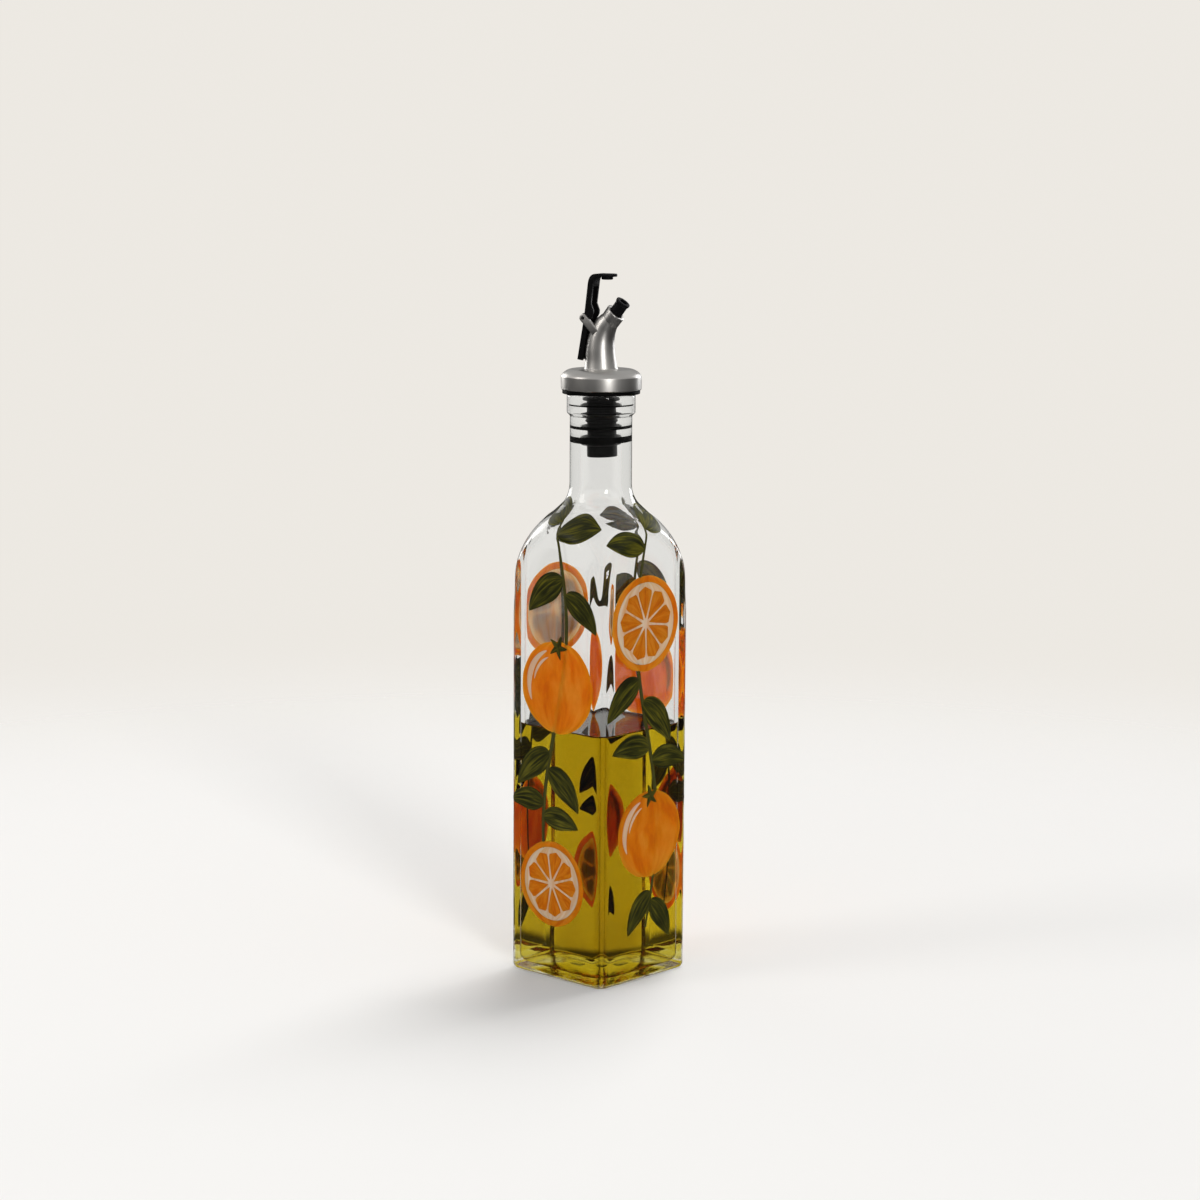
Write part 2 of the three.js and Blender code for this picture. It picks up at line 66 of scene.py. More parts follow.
# Bottle, outside and inside
HALF_SIDE = 29
CORNER_RADIUS = 5.4
BASE_ROUNDING = 2.5
NECK_RADIUS = 13.9
BEAD_RADIUS = 15.3
BEAD_BOTTOM = 254.3
MOUTH_Z = 263.2
BEAD_BLEND = (-1.1, 0.7)  # from where to where about its bottom the neck widens into it
BEAD_ROUNDING = 1.1
BORE_ROUNDING = 0.9
SHOULDER = SimpleNamespace(centre_r=-0.8, centre_z=177.1, radius=39.6, neck=NECK_RADIUS, fillet=16)
SHOULDER_BLEND = 2
OUTSIDE_WAVE = 0.035
INSIDE_WAVE = 0.16
REST_RING_HALF = 22
PUSH_UP = 3.4
WALL = 3.2
CAVITY_CORNER_RADIUS = 7
FLOOR_Z = 3.8
FLOOR_RISE = 3.0
FLOOR_ROUNDING = 3
BORE_RADIUS = 9.3
CAVITY_HALF = HALF_SIDE - WALL
# The lowest rings of the straight walls, outside and inside
OUTSIDE_START = 6
INSIDE_START = 22
CAVITY_SHOULDER = SimpleNamespace(**vars(SHOULDER))
CAVITY_SHOULDER.radius -= WALL
CAVITY_SHOULDER.neck = BORE_RADIUS
CAVITY_SHOULDER.fillet = 19

# Oil
OIL_LEVEL = 113.3
INTO_GLASS = 0.12  # how far the oil and the fins reach into the glass
MENISCUS_RISE = 1.3
MENISCUS_REACH = 1.5
CONTACT_Z = OIL_LEVEL + MENISCUS_RISE

# Looks of the glass and the oil
GLASS_IOR = 1.52
OIL_IOR = 1.47
GLASS_COLOUR = (0.985, 0.992, 0.99)
LAMPS_THROUGH_GLASS = (0.80, 0.81, 0.80)
OIL_COLOUR = (0.875, 0.80, 0.0, 1)
OIL_DENSITY = 100.0
# The heights between which the stipple of the heel sets in, going down, and how deep and fine it is
HEEL_STIPPLE = (5, 2)
STIPPLE_DEPTH = 0.14
STIPPLE_SCALE = 700

# Stopper
STUB_RADIUS = 6.75
STUB_BOTTOM = 235.3
CORE_RADIUS = 6.5
CORE_TOP_RADIUS = 8.4
RIB_RADIUS = 7.3
STUB_TOP = 240.2
LEAD_IN_TOP = 240.8
FOOT_FIN = (241.6, 244.3)
# Bottom and top of the fins that reach the glass, and of the ribs that don't
FINS = ((247.6, 249), (254.7, 255.3), (258, 258.6))
RIBS = ((251, 251.5), (252.8, 253.3))
CORE_TOP = 259.9
HEAD_BOTTOM = 260.5
FLANGE_RADIUS = 17.35
FLANGE_BOTTOM = 263.25
FLANGE_TOP = 264.75
FOOT_SHIFT = 0.7
FIN_LEAN = radians(2.2)

# Pourer casting
CHANNEL_RADIUS = 1.8
COLLAR_RADIUS = 18
COLLAR_BOTTOM = 265.0
COLLAR_SHOULDER_Z = 270.7
COLLAR_TOP = 274.1
COLLAR_TOP_RADIUS = 13.4
COLLAR_BULGE = 1.25  # 1 rounds its shoulder like an ellipse, 2 makes it a straight slope
COLLAR_CHAMFER = 0.35
SPOUT_FOOT_RADIUS = 7.9
SPOUT_FILLET = 0.4
POUR_ANGLE = radians(17)
TIP_TILT = radians(37.5)
SLEEVE_RADIUS = 4.57
SLEEVE_LENGTH = 9
SLEEVE_END_PAST = 0.7
SLEEVE_END_TILT = radians(46)
RIM = (6.7, 298.85)
SOCKET_RADIUS = 3.25
SOCKET_DEPTH = 5
SPOUT_SECTIONS = [
    # x, z, tilt in degrees, radius
    (-0.1, 273.2, 0, 7.6),
    (-0.3, 277.5, 0, 6.95),
    (-0.5, 282.5, 2, 6.5),
    (-0.1, 287.3, 8, 5.95),
    (1.1, 291.3, 20, 5.4),
    (2.7, 294.3, 31, 4.9),
    (4.4, 296.3, 37.5, 4.3),
]
TIP_LENGTH = 6.7
TIP_RADIUS = 2.95
TIP_LIP_RADIUS = 3.35

# Lever
PIVOT = (-6.7, 296.8)
PIN_RADIUS = 0.85
EAR_INNER_Y = 3.85
EAR_THICKNESS = 1.6
EAR_HALF_WIDTH = 1.75
EAR_ROOT = (-0.5, 290.4)
LEVER_HALF_WIDTH = 3.5
LEVER_DEPTH = 2.5
LEVER_TAIL = (-9, 278)
LEVER_KINK = (-5.8, 296.8)
LEVER_BEND = (-3.95, 312.2)
LEVER_BEND_RADIUS = 3.4
LEVER_HUB_RADIUS = 2.1
LEVER_TOP = 316.3
LEVER_TONGUE_THICKNESS = 1.3
LEVER_GROOVE_HALF = 2.4
LEVER_GROOVE_DEPTH = 1.3
CHEEK_LOW = (-2.7, 298.4)
CHEEK_HIGH = (-2.5, 300)
CAP_RADIUS = 3.8
CAP_X = 3.4
PAD_RADIUS = 2.6
PAD_CLEARANCE = 0.4


def new_object(name, data):
    made = bpy.data.objects.new(name, data)
    bpy.context.scene.collection.objects.link(made)
    return made


def smooth(data, sharp=None):
    """Smooth shading, with edges sharp past an angle in degrees."""
    for polygon in data.polygons:
        polygon.use_smooth = True
    if sharp is not None:
        data.set_sharp_from_angle(angle=radians(sharp))


def mesh(name, points, faces, sharp=None):
    """A smooth-shaded object from points in millimetres."""
    data = bpy.data.meshes.new(name)
    data.from_pydata([tuple(p) for p in np.asarray(points, float) * MM], [], [tuple(f) for f in faces])
    data.validate()
    smooth(data, sharp)
    return new_object(name, data)


def circle(radius, z, angles):
    """Points round Z at one radius and height, or with a radius and a height for every angle."""
    return np.stack([radius * np.cos(angles), radius * np.sin(angles), np.full_like(angles, z)], 1)


def even_turn(count):
    return np.arange(count) * 2 * pi / count


def quarter_turn(steps):
    return [pi / 2 * i / steps for i in range(steps + 1)]


def pole(z, x=0.0):
    return [(x, 0.0, z)]


def skin(rings, closed=False):
    """Points and faces of one skin through rings of points. A ring of one point is a pole."""
    firsts, points, faces = [], [], []
    for ring in rings:
        firsts.append(len(points))
        points.extend(ring)
    rows = list(range(len(rings))) + ([0] if closed else [])
    for low, high in zip(rows, rows[1:]):
        n_low, n_high = len(rings[low]), len(rings[high])
        count = max(n_low, n_high)
        for column in range(count):
            following = (column + 1) % count
            a = firsts[low] + (column if n_low > 1 else 0)
            b = firsts[low] + (following if n_low > 1 else 0)
            c = firsts[high] + (following if n_high > 1 else 0)
            d = firsts[high] + (column if n_high > 1 else 0)
            face = [a] + ([b] if n_low > 1 else []) + [c] + ([d] if n_high > 1 else [])
            faces.append(face)
    return points, faces


# Form of the bottle
def ring_angles():
    """Angles round the bottle, closer together at its four corners."""
    angles = []
    for quarter in range(4):
        centre = 90 * quarter
        angles += list(np.arange(-34, 34, 4.0) + centre)
        angles += list(np.arange(34, 56, 0.55) + centre)
    return np.radians(np.array(angles))


ANGLES = ring_angles()


def square_radius(angle, half, corner):
    across, along = np.abs(np.cos(angle)), np.abs(np.sin(angle))
    major, minor = np.maximum(across, along), np.minimum(across, along)
    flat = half - corner
    reach = flat * (major + minor)
    bend = reach + np.sqrt(np.maximum(reach * reach - 2 * flat * flat + corner * corner, 0))
    return np.where(half * minor <= flat * major, half / major, bend)


def smooth_min(a, b, blend):
    overlap = np.maximum(blend - np.abs(a - b), 0) / blend
    return np.minimum(a, b) - overlap * overlap * blend / 4


def fillet_of(shoulder):
    centre_r = shoulder.neck + shoulder.fillet
    reach = shoulder.radius + shoulder.fillet
    rise = sqrt(reach * reach - (centre_r - shoulder.centre_r) ** 2)
    start_z = shoulder.centre_z + rise * shoulder.radius / reach
    return centre_r, shoulder.centre_z + rise, start_z


def dome_radius(z, shoulder):
    fillet_r, fillet_z, start_z = fillet_of(shoulder)
    centre_r, centre_z = shoulder.centre_r, shoulder.centre_z
    radius, fillet = shoulder.radius, shoulder.fillet
    if z < centre_z:
        return centre_r + radius + (centre_z - z) ** 2 / (2 * radius)
    if z < start_z:
        return centre_r + sqrt(radius * radius - (z - centre_z) ** 2)
    if z < fillet_z:
        return fillet_r - sqrt(max(fillet * fillet - (fillet_z - z) ** 2, 0))
    return shoulder.neck


def shoulder_heights(shoulder, dome_steps, fillet_steps):
    _, fillet_z, start_z = fillet_of(shoulder)
    last = asin((start_z - shoulder.centre_z) / shoulder.radius)
    heights = []
    for i in range(dome_steps):
        heights.append(shoulder.centre_z + shoulder.radius * sin(last * i / dome_steps))
    for i in range(fillet_steps + 1):
        angle = last + (pi / 2 - last) * i / fillet_steps
        heights.append(fillet_z - shoulder.fillet * cos(angle))
    return heights


def waviness(angle, z, size):
    """The slow unevenness that blown glass has, fading out below the neck."""
    fade = np.clip((205 - z) / 30, 0, 1) * np.clip(z / 12, 0, 1)
    wave = np.sin(3 * angle + z / 27 + 0.6) + 0.7 * np.sin(5 * angle - z / 17 + 2.1)
    wave = wave + 0.6 * np.sin(8 * angle + z / 41 + 4.4) + 0.4 * np.sin(2 * angle + z / 9.5)
    return size * fade * wave / 2.7


def bottle_ring(z, half, corner, limit=1e6, wave=0.0):
    radius = smooth_min(square_radius(ANGLES, half, corner), limit, SHOULDER_BLEND)
    return circle(radius + waviness(ANGLES, z, wave), z, ANGLES)


def wall_rings(heights, half, corner, wave, shoulder):
    return [bottle_ring(z, half, corner, dome_radius(z, shoulder), wave) for z in heights]


def outside_rings():
    rings = [pole(PUSH_UP)]
    for i in range(1, 13):
        t = i / 12
        corner = CAVITY_CORNER_RADIUS * min(1, t + 0.1)
        rings.append(bottle_ring(PUSH_UP * (1 - t**2), REST_RING_HALF * t, corner))
    for angle in quarter_turn(12):
        inset = BASE_ROUNDING * (1 - sin(angle))
        z = BASE_ROUNDING * (1 - cos(angle))
        rings.append(bottle_ring(z, HALF_SIDE - inset, CORNER_RADIUS - inset))
    heights = [*np.linspace(OUTSIDE_START, SHOULDER.centre_z - 3, 36), *shoulder_heights(SHOULDER, 34, 14)]
    return rings + wall_rings(heights, HALF_SIDE, CORNER_RADIUS, OUTSIDE_WAVE, SHOULDER)


def finish_rings():
    """The thick ring round the mouth and the mouth's rounded edge, down to the bore."""
    low, high = BEAD_BLEND
    rings = [circle(NECK_RADIUS, BEAD_BOTTOM + low - 0.3, ANGLES)]
    for i in range(7):
        t = i / 6
        radius = NECK_RADIUS + (BEAD_RADIUS - NECK_RADIUS) * t * t * (3 - 2 * t)
        rings.append(circle(radius, BEAD_BOTTOM + low + (high - low) * t, ANGLES))
    rings.append(circle(BEAD_RADIUS, MOUTH_Z - BEAD_ROUNDING - 0.1, ANGLES))
    for angle in quarter_turn(8)[1:]:
        radius = BEAD_RADIUS - BEAD_ROUNDING * (1 - cos(angle))
        rings.append(circle(radius, MOUTH_Z - BEAD_ROUNDING * (1 - sin(angle)), ANGLES))
    for angle in quarter_turn(8):
        radius = BORE_RADIUS + BORE_ROUNDING * (1 - sin(angle))
        rings.append(circle(radius, MOUTH_Z - BORE_ROUNDING * (1 - cos(angle)), ANGLES))
    return rings


def cavity_floor_rings(grow):
    rounding, half, corner = FLOOR_ROUNDING + grow, CAVITY_HALF + grow, CAVITY_CORNER_RADIUS + grow
    rings = [pole(FLOOR_Z + FLOOR_RISE - grow)]
    for i in range(1, 9):
        t = i / 8
        rise = FLOOR_RISE * (1 + cos(pi * t)) / 2
        rings.append(bottle_ring(FLOOR_Z + rise - grow, (half - rounding) * t, corner * min(1, t + 0.15)))
    for i, angle in enumerate(quarter_turn(16)[1:], 1):
        z = FLOOR_Z - grow + rounding * (1 - cos(angle))
        reach = half - rounding * (1 - sin(angle))
        rings.append(bottle_ring(z, reach, corner, wave=INSIDE_WAVE * i / 16))
    return rings


def inside_rings():
    heights = [
        *np.linspace(INSIDE_START, CONTACT_Z, 20),
        *np.linspace(CONTACT_Z + 3, CAVITY_SHOULDER.centre_z - 3, 14),
        *shoulder_heights(CAVITY_SHOULDER, 26, 12),
    ]
    walls = wall_rings(heights, CAVITY_HALF, CAVITY_CORNER_RADIUS, INSIDE_WAVE, CAVITY_SHOULDER)
    return (cavity_floor_rings(0) + walls)[::-1]


def make_bottle(dry, wet):
    """The bottle, with the part of its inner wall that the oil touches in a material of its own."""
    piece = mesh("bottle_glass", *skin(outside_rings() + finish_rings() + inside_rings()))
    for look in (dry, wet):
        piece.data.materials.append(look)
    for polygon in piece.data.polygons:
        x, y, z = polygon.center / MM
        within = hypot(x, y) < square_radius(atan2(y, x), CAVITY_HALF + 1, CAVITY_CORNER_RADIUS)
        polygon.material_index = int(within and FLOOR_Z - 0.5 < z < CONTACT_Z)
    return piece


def make_oil(body, surface):
    """The oil, with its free surface in a material of its own."""
    half, corner = CAVITY_HALF + INTO_GLASS, CAVITY_CORNER_RADIUS + INTO_GLASS
    rings = cavity_floor_rings(INTO_GLASS)
    for z in np.linspace(INSIDE_START, CONTACT_Z, 20):
        rings.append(bottle_ring(z, half, corner, wave=INSIDE_WAVE))
    for inset in (0.05, 0.2, 0.45, 0.8, 1.3, 2, 3, 4.5, 6.5):
        z = OIL_LEVEL + MENISCUS_RISE * exp(-((inset / MENISCUS_REACH) ** 1.1))
        rings.append(bottle_ring(z, half - inset, max(corner - inset, 0.6), wave=INSIDE_WAVE))
    for share in (0.5, 0.2):
        rings.append(bottle_ring(OIL_LEVEL, half * share, 3 * share))
    rings.append(pole(OIL_LEVEL))
    piece = mesh("oil_fill", *skin(rings), sharp=60)
    for look in (body, surface):
        piece.data.materials.append(look)
    for polygon in piece.data.polygons:
        polygon.material_index = int(polygon.center.z > (OIL_LEVEL - 0.5) * MM and polygon.normal.z > 0.05)
    return piece


# Turned pieces
def turned(name, profile, segments=128, sharp=35):
    """A solid of revolution about Z from a closed [radius, height] profile."""
    turn = even_turn(segments)
    rings = [pole(z) if radius < 1e-6 else circle(radius, z, turn) for radius, z in profile]
    return outward(mesh(name, *skin(rings, profile[0][0] > 1e-6), sharp=sharp))


def outward(piece):
    """Turns all faces of a closed mesh outwards."""
    work = bmesh.new()
    work.from_mesh(piece.data)
    bmesh.ops.remove_doubles(work, verts=work.verts, dist=1e-7)
    bmesh.ops.recalc_face_normals(work, faces=work.faces)
    if work.calc_volume(signed=True) < 0:
        bmesh.ops.reverse_faces(work, faces=work.faces)
    work.to_mesh(piece.data)
    work.free()
    return piece


def moved(piece, x, z, turn=Matrix()):
    """Turns a piece about its origin and moves it in the pourer's xz plane."""
    piece.data.transform(Matrix.Translation(Vector((x, 0, z)) * MM) @ turn)
    return piece


def rounded(points, radius, steps=4):
    """A profile with its corners rounded, except at its two ends."""
    out = [points[0]]
    for before, corner, after in zip(points, points[1:], points[2:]):
        p, q, r = (Vector(x) for x in (before, corner, after))
        a, b = p - q, r - q
        reach = min(radius, 0.45 * a.length, 0.45 * b.length)
        if reach < 1e-4 or abs(a.angle(b) - pi) < 0.12:
            out.append(tuple(corner))
            continue
        start, end = q + a.normalized() * reach, q + b.normalized() * reach
        for i in range(steps + 1):
            t = i / steps
            out.append(tuple((1 - t) ** 2 * start + 2 * t * (1 - t) * q + t * t * end))
    out.append(points[-1])
    return out


def fin(bottom, top, radius, lead=0.5):
    return [(CORE_RADIUS, bottom - lead), (radius, bottom), (radius, top), (CORE_RADIUS, top + lead)]


def make_stopper():
    grip = BORE_RADIUS + INTO_GLASS
    fins = fin(*FOOT_FIN, grip)[1:]
    for ends in sorted(FINS + RIBS):
        fins += fin(*ends, grip if ends in FINS else RIB_RADIUS)
    outside = [
        (0, STUB_BOTTOM), (STUB_RADIUS, STUB_BOTTOM), (STUB_RADIUS, STUB_TOP), (grip - 0.7, LEAD_IN_TOP),
        *fins,
        (CORE_RADIUS, CORE_TOP), (CORE_TOP_RADIUS, HEAD_BOTTOM), (CORE_TOP_RADIUS, FLANGE_BOTTOM),
        (FLANGE_RADIUS, FLANGE_BOTTOM), (FLANGE_RADIUS, FLANGE_TOP), (0, FLANGE_TOP),
    ]
    piece = turned("rubber_stopper", rounded(outside, 0.3, 3))
    # It sits a little askew: its foot is pushed aside and its fins lean
    for vertex in piece.data.vertices:
        x, y, z = vertex.co / MM
        depth = min(max((FLANGE_BOTTOM - z) / (FLANGE_BOTTOM - STUB_BOTTOM), 0), 1)
        loose = min(max((grip - hypot(x, y)) / (grip - CORE_RADIUS), 0), 1)
        aside = x * ACROSS[0] + y * ACROSS[1]
        shift = FOOT_SHIFT * depth * loose
        lift = aside * tan(FIN_LEAN) * depth
        vertex.co = Vector((x + ACROSS[0] * shift, y + ACROSS[1] * shift, z + lift)) * MM
    return piece


# Pourer
def smooth_sections(sections, per_span=6):
    """Sections interpolated by a Catmull-Rom curve."""
    rows = np.array(sections, float)
    rows = np.vstack([2 * rows[0] - rows[1], rows, 2 * rows[-1] - rows[-2]])
    out = []
    for i in range(1, len(rows) - 2):
        a, b, c, d = rows[i - 1 : i + 3]
        for step in range(per_span):
            t = step / per_span
            square, cube = 2 * a - 5 * b + 4 * c - d, 3 * b - a - 3 * c + d
            out.append(0.5 * (2 * b + (c - a) * t + square * t * t + cube * t**3))
    out.append(rows[-2])
    return out


def spout_ring(x, z, tilt, radius):
    turn = even_turn(72)
    out = radius * np.cos(turn)
    return np.stack([x + out * cos(tilt), radius * np.sin(turn), z - out * sin(tilt)], 1)


def along_tip(distance):
    return RIM[0] + distance * sin(TIP_TILT), RIM[1] + distance * cos(TIP_TILT)


def tip_ring(distance, radius, tilt=TIP_TILT):
    """A ring so far along the tip's axis, or a pole where it has no radius."""
    x, z = along_tip(distance)
    return spout_ring(x, z, tilt, radius) if radius else pole(z, x)


def make_collar():
    profile = [
        (0, COLLAR_BOTTOM),
        (COLLAR_RADIUS - COLLAR_CHAMFER, COLLAR_BOTTOM),
        (COLLAR_RADIUS, COLLAR_BOTTOM + COLLAR_CHAMFER),
    ]
    for angle in quarter_turn(24):
        profile.append((
            COLLAR_TOP_RADIUS + (COLLAR_RADIUS - COLLAR_TOP_RADIUS) * cos(angle) ** COLLAR_BULGE,
            COLLAR_SHOULDER_Z + (COLLAR_TOP - COLLAR_SHOULDER_Z) * sin(angle) ** COLLAR_BULGE,
        ))
    # A small fillet runs up from the collar's flat top into the spout
    for angle in quarter_turn(6):
        radius = SPOUT_FOOT_RADIUS - SPOUT_FILLET * sin(angle)
        profile.append((radius, COLLAR_TOP + SPOUT_FILLET * (1 - cos(angle))))
    profile.append((0, COLLAR_TOP + SPOUT_FILLET))
    return turned("collar", profile, 160, 30)


def make_spout():
    x, z = SPOUT_SECTIONS[0][:2]
    rings = [pole(z - 1, x)]
    for x, z, tilt, radius in smooth_sections(SPOUT_SECTIONS):
        rings.append(spout_ring(x, z, radians(tilt), radius))
    x, z = SPOUT_SECTIONS[-1][:2]
    rings.append(spout_ring(x, z, TIP_TILT, SOCKET_RADIUS))
    bottom = -SOCKET_DEPTH - 0.2
    rings += [tip_ring(bottom, SOCKET_RADIUS), tip_ring(bottom, 0)]
    return outward(mesh("spout", *skin(rings), sharp=35))


def make_sleeve():
    """Straight end of the spout: a tube with a rounded rim, cut off a little more steeply than it runs."""
    past, end = SLEEVE_END_PAST, SLEEVE_END_TILT
    rings = [
        (-SLEEVE_LENGTH, 0),
        (-SLEEVE_LENGTH, SLEEVE_RADIUS - 0.4),
        (-SLEEVE_LENGTH / 2, SLEEVE_RADIUS - 0.2),
        (past - 0.45, SLEEVE_RADIUS, end),
        (past - 0.2, SLEEVE_RADIUS - 0.04, end),
        (past - 0.06, SLEEVE_RADIUS - 0.16, end),
        (past, SLEEVE_RADIUS - 0.35, end),
        (past, SOCKET_RADIUS + 0.2, end),
        (past - 0.2, SOCKET_RADIUS, end),
        (-SOCKET_DEPTH, SOCKET_RADIUS),
        (-SOCKET_DEPTH, 0),
    ]
    return outward(mesh("sleeve", *skin([tip_ring(*ring) for ring in rings]), sharp=35))


def plate(name, outline, from_y, to_y):
    """A flat plate in the pourer's xz plane, from one y to another."""
    count = len(outline)
    points = [(x, from_y, z) for x, z in outline] + [(x, to_y, z) for x, z in outline]
    faces = [list(range(count))[::-1], list(range(count, 2 * count))]
    for i in range(count):
        j = (i + 1) % count
        faces.append([i, j, count + j, count + i])
    return outward(mesh(name, points, faces))


def around(centre, radius, angles):
    return [(centre[0] + radius * cos(a), centre[1] + radius * sin(a)) for a in angles]


def arc(centre, radius, start, end, steps=16):
    return around(centre, radius, np.linspace(start, end, steps + 1))


def curve_2d(start, control, end, steps=8):
    s, c, e = (np.array(p, float) for p in (start, control, end))
    return [tuple((1 - t) ** 2 * s + 2 * t * (1 - t) * c + t * t * e) for t in np.linspace(0, 1, steps + 1)]


def modify(piece, kind, **values):
    """Replaces a piece's mesh by what a modifier makes of it."""
    modifier = piece.modifiers.new(kind, kind)
    for name, value in values.items():
        setattr(modifier, name, value)
    bpy.context.view_layer.update()
    shown = piece.evaluated_get(bpy.context.evaluated_depsgraph_get())
    data = bpy.data.meshes.new_from_object(shown)
    piece.modifiers.clear()
    piece.data = data


def bool_with(piece, other, operation):
    modify(piece, "BOOLEAN", operation=operation, solver="EXACT", object=other)
    bpy.data.objects.remove(other)


def bevel(piece, width, angle=35):
    limit = {"limit_method": "ANGLE", "angle_limit": radians(angle)}
    modify(piece, "BEVEL", width=width * MM, segments=3, **limit)
    smooth(piece.data, 40)


def joined(name, pieces):
    """One object from several, in the same coordinates."""
    work = bmesh.new()
    for piece in pieces:
        work.from_mesh(piece.data)
    data = bpy.data.meshes.new(name)
    work.to_mesh(data)
    work.free()
    for piece in pieces:
        bpy.data.objects.remove(piece)
    return new_object(name, data)


def make_ear(side):
    slope = atan2(PIVOT[1] - EAR_ROOT[1], PIVOT[0] - EAR_ROOT[0])
    outline = arc(PIVOT, EAR_HALF_WIDTH, slope - pi / 2, slope + pi / 2)
    outline += arc(EAR_ROOT, EAR_HALF_WIDTH, slope + pi / 2, slope + 3 * pi / 2)
    inner, outer = side * EAR_INNER_Y, side * (EAR_INNER_Y + EAR_THICKNESS)
    ear = plate(f"ear_{side}", outline, min(inner, outer), max(inner, outer))
    bevel(ear, 0.3)
    return ear


def make_casting():
    return joined("metal_pourer", [make_collar(), make_spout(), make_sleeve(), make_ear(-1), make_ear(1)])


def make_tip():
    stem = -(SOCKET_DEPTH - 0.3)
    profile = [
        (CHANNEL_RADIUS, stem), (TIP_RADIUS, stem), (TIP_RADIUS, TIP_LENGTH - 1.7),
        (TIP_LIP_RADIUS, TIP_LENGTH - 0.95), (TIP_LIP_RADIUS, TIP_LENGTH),
        (CHANNEL_RADIUS, TIP_LENGTH), (CHANNEL_RADIUS, stem),
    ]
    piece = turned("pourer_tip", rounded(profile, 0.3, 3)[:-1], 72)
    return moved(piece, *RIM, Matrix.Rotation(TIP_TILT, 4, "Y"))


def pad_centre():
    """Where the cap's pad is with the lever open, so that shut it covers the tip's lip."""
    x, z = along_tip(TIP_LENGTH + PAD_CLEARANCE)
    reach = Vector((x - PIVOT[0], z - PIVOT[1]))
    turned_back = Matrix.Rotation(TIP_TILT, 2) @ reach
    return PIVOT[0] + turned_back.x, PIVOT[1] + turned_back.y


def run_of(start, end):
    along = (Vector(end) - Vector(start)).normalized()
    return along, Vector((along.y, -along.x))


def offset(point, run, distance):
    return tuple(Vector(point) + run[1] * distance)


def make_lever():
    half = LEVER_DEPTH / 2
    tail, arm = run_of(LEVER_TAIL, LEVER_KINK), run_of(LEVER_KINK, LEVER_BEND)
    back, front = offset(LEVER_BEND, arm, -half), offset(LEVER_BEND, arm, half)
    under = LEVER_TOP - LEVER_TONGUE_THICKNESS
    outline = [offset(LEVER_TAIL, tail, half), offset(LEVER_KINK, arm, half)]
    outline += curve_2d(front, (front[0] + 0.3, under), (front[0] + 1.6, under))
    outline += [(CAP_X, under), (CAP_X, LEVER_TOP)]
    outline += curve_2d((back[0] + LEVER_BEND_RADIUS + 0.6, LEVER_TOP), (back[0] + 0.6, LEVER_TOP), back)
    outline += [offset(LEVER_KINK, arm, -half), offset(LEVER_TAIL, tail, -half)]
    breadth = (-LEVER_HALF_WIDTH, LEVER_HALF_WIDTH)
    body = plate("lever_body", outline, *breadth)

    foot = (LEVER_KINK[0], LEVER_KINK[1] - 2)
    head = tuple(Vector(LEVER_KINK) + arm[0] * 7)
    cheek = [offset(head, arm, 1), offset(LEVER_KINK, arm, 0), offset(foot, arm, 1), CHEEK_LOW, CHEEK_HIGH]
    bool_with(body, plate("cheek", cheek, *breadth), "UNION")

    start = tuple(Vector(LEVER_TAIL) - tail[0] * 2)
    end = tuple(Vector(LEVER_BEND) - arm[0] * 1.5)
    bottom, above = half - LEVER_GROOVE_DEPTH, half + 3
    groove = [offset(start, tail, bottom), offset(LEVER_KINK, tail, bottom), offset(end, arm, bottom)]
    groove += [offset(end, arm, above), offset(LEVER_KINK, arm, above), offset(start, tail, above)]
    bool_with(body, plate("groove", groove, -LEVER_GROOVE_HALF, LEVER_GROOVE_HALF), "DIFFERENCE")
    hub = around(PIVOT, LEVER_HUB_RADIUS, even_turn(40))
    bool_with(body, plate("hub", hub, *breadth), "UNION")
    bevel(body, 0.35, 30)

    pad_x, pad_z = pad_centre()
    cap_profile = [(0, under), (CAP_RADIUS, under), (CAP_RADIUS, LEVER_TOP), (0, LEVER_TOP)]
    cap = turned("cap", rounded(cap_profile, 0.4), 72)
    top = LEVER_TOP - 0.5
    seal = turned("seal", rounded([(0, pad_z), (PAD_RADIUS, pad_z), (PAD_RADIUS, top), (0, top)], 0.6), 64)
    return joined("flip_lever", [body, moved(cap, CAP_X, 0), moved(seal, pad_x, 0)])


def make_pin():
    reach = EAR_INNER_Y + EAR_THICKNESS + 0.15
    profile = rounded([(0, -reach), (PIN_RADIUS, -reach), (PIN_RADIUS, reach), (0, reach)], 0.3)
    piece = turned("hinge_rivet", profile, 40)
    return moved(piece, *PIVOT, Matrix.Rotation(pi / 2, 4, "X"))


# Materials
def new_material(name):
    material = bpy.data.materials.new(name)
    material.use_nodes = True
    tree = material.node_tree
    tree.nodes.clear()
    output = tree.nodes.new("ShaderNodeOutputMaterial")
    return material, tree, output


def node(tree, kind, **values):
    """A shader node. Each value is linked to an input or set on it, or else set on the node itself."""
    made = tree.nodes.new("ShaderNode" + kind)
    for name, value in values.items():
        key = name.replace("_", " ")
        if key not in made.inputs:
            setattr(made, name, value)
        elif isinstance(value, bpy.types.NodeSocket):
            tree.links.new(value, made.inputs[key])
        else:
            made.inputs[key].default_value = value
    return made


def map_range(tree, value, source, target=(0, 1), kind="SMOOTHSTEP"):
    """The output of a node that maps value from one range, given as its two ends, to another."""
    made = node(tree, "MapRange", interpolation_type=kind, Value=value)
    for end, ends in (("From", source), ("To", target)):
        made.inputs[end + " Min"].default_value, made.inputs[end + " Max"].default_value = ends
    return made.outputs[0]


def mixed(tree, share, first, second):
    mix = node(tree, "MixShader", Fac=share)
    tree.links.new(first.outputs[0], mix.inputs[1])
    tree.links.new(second.outputs[0], mix.inputs[2])
    return mix


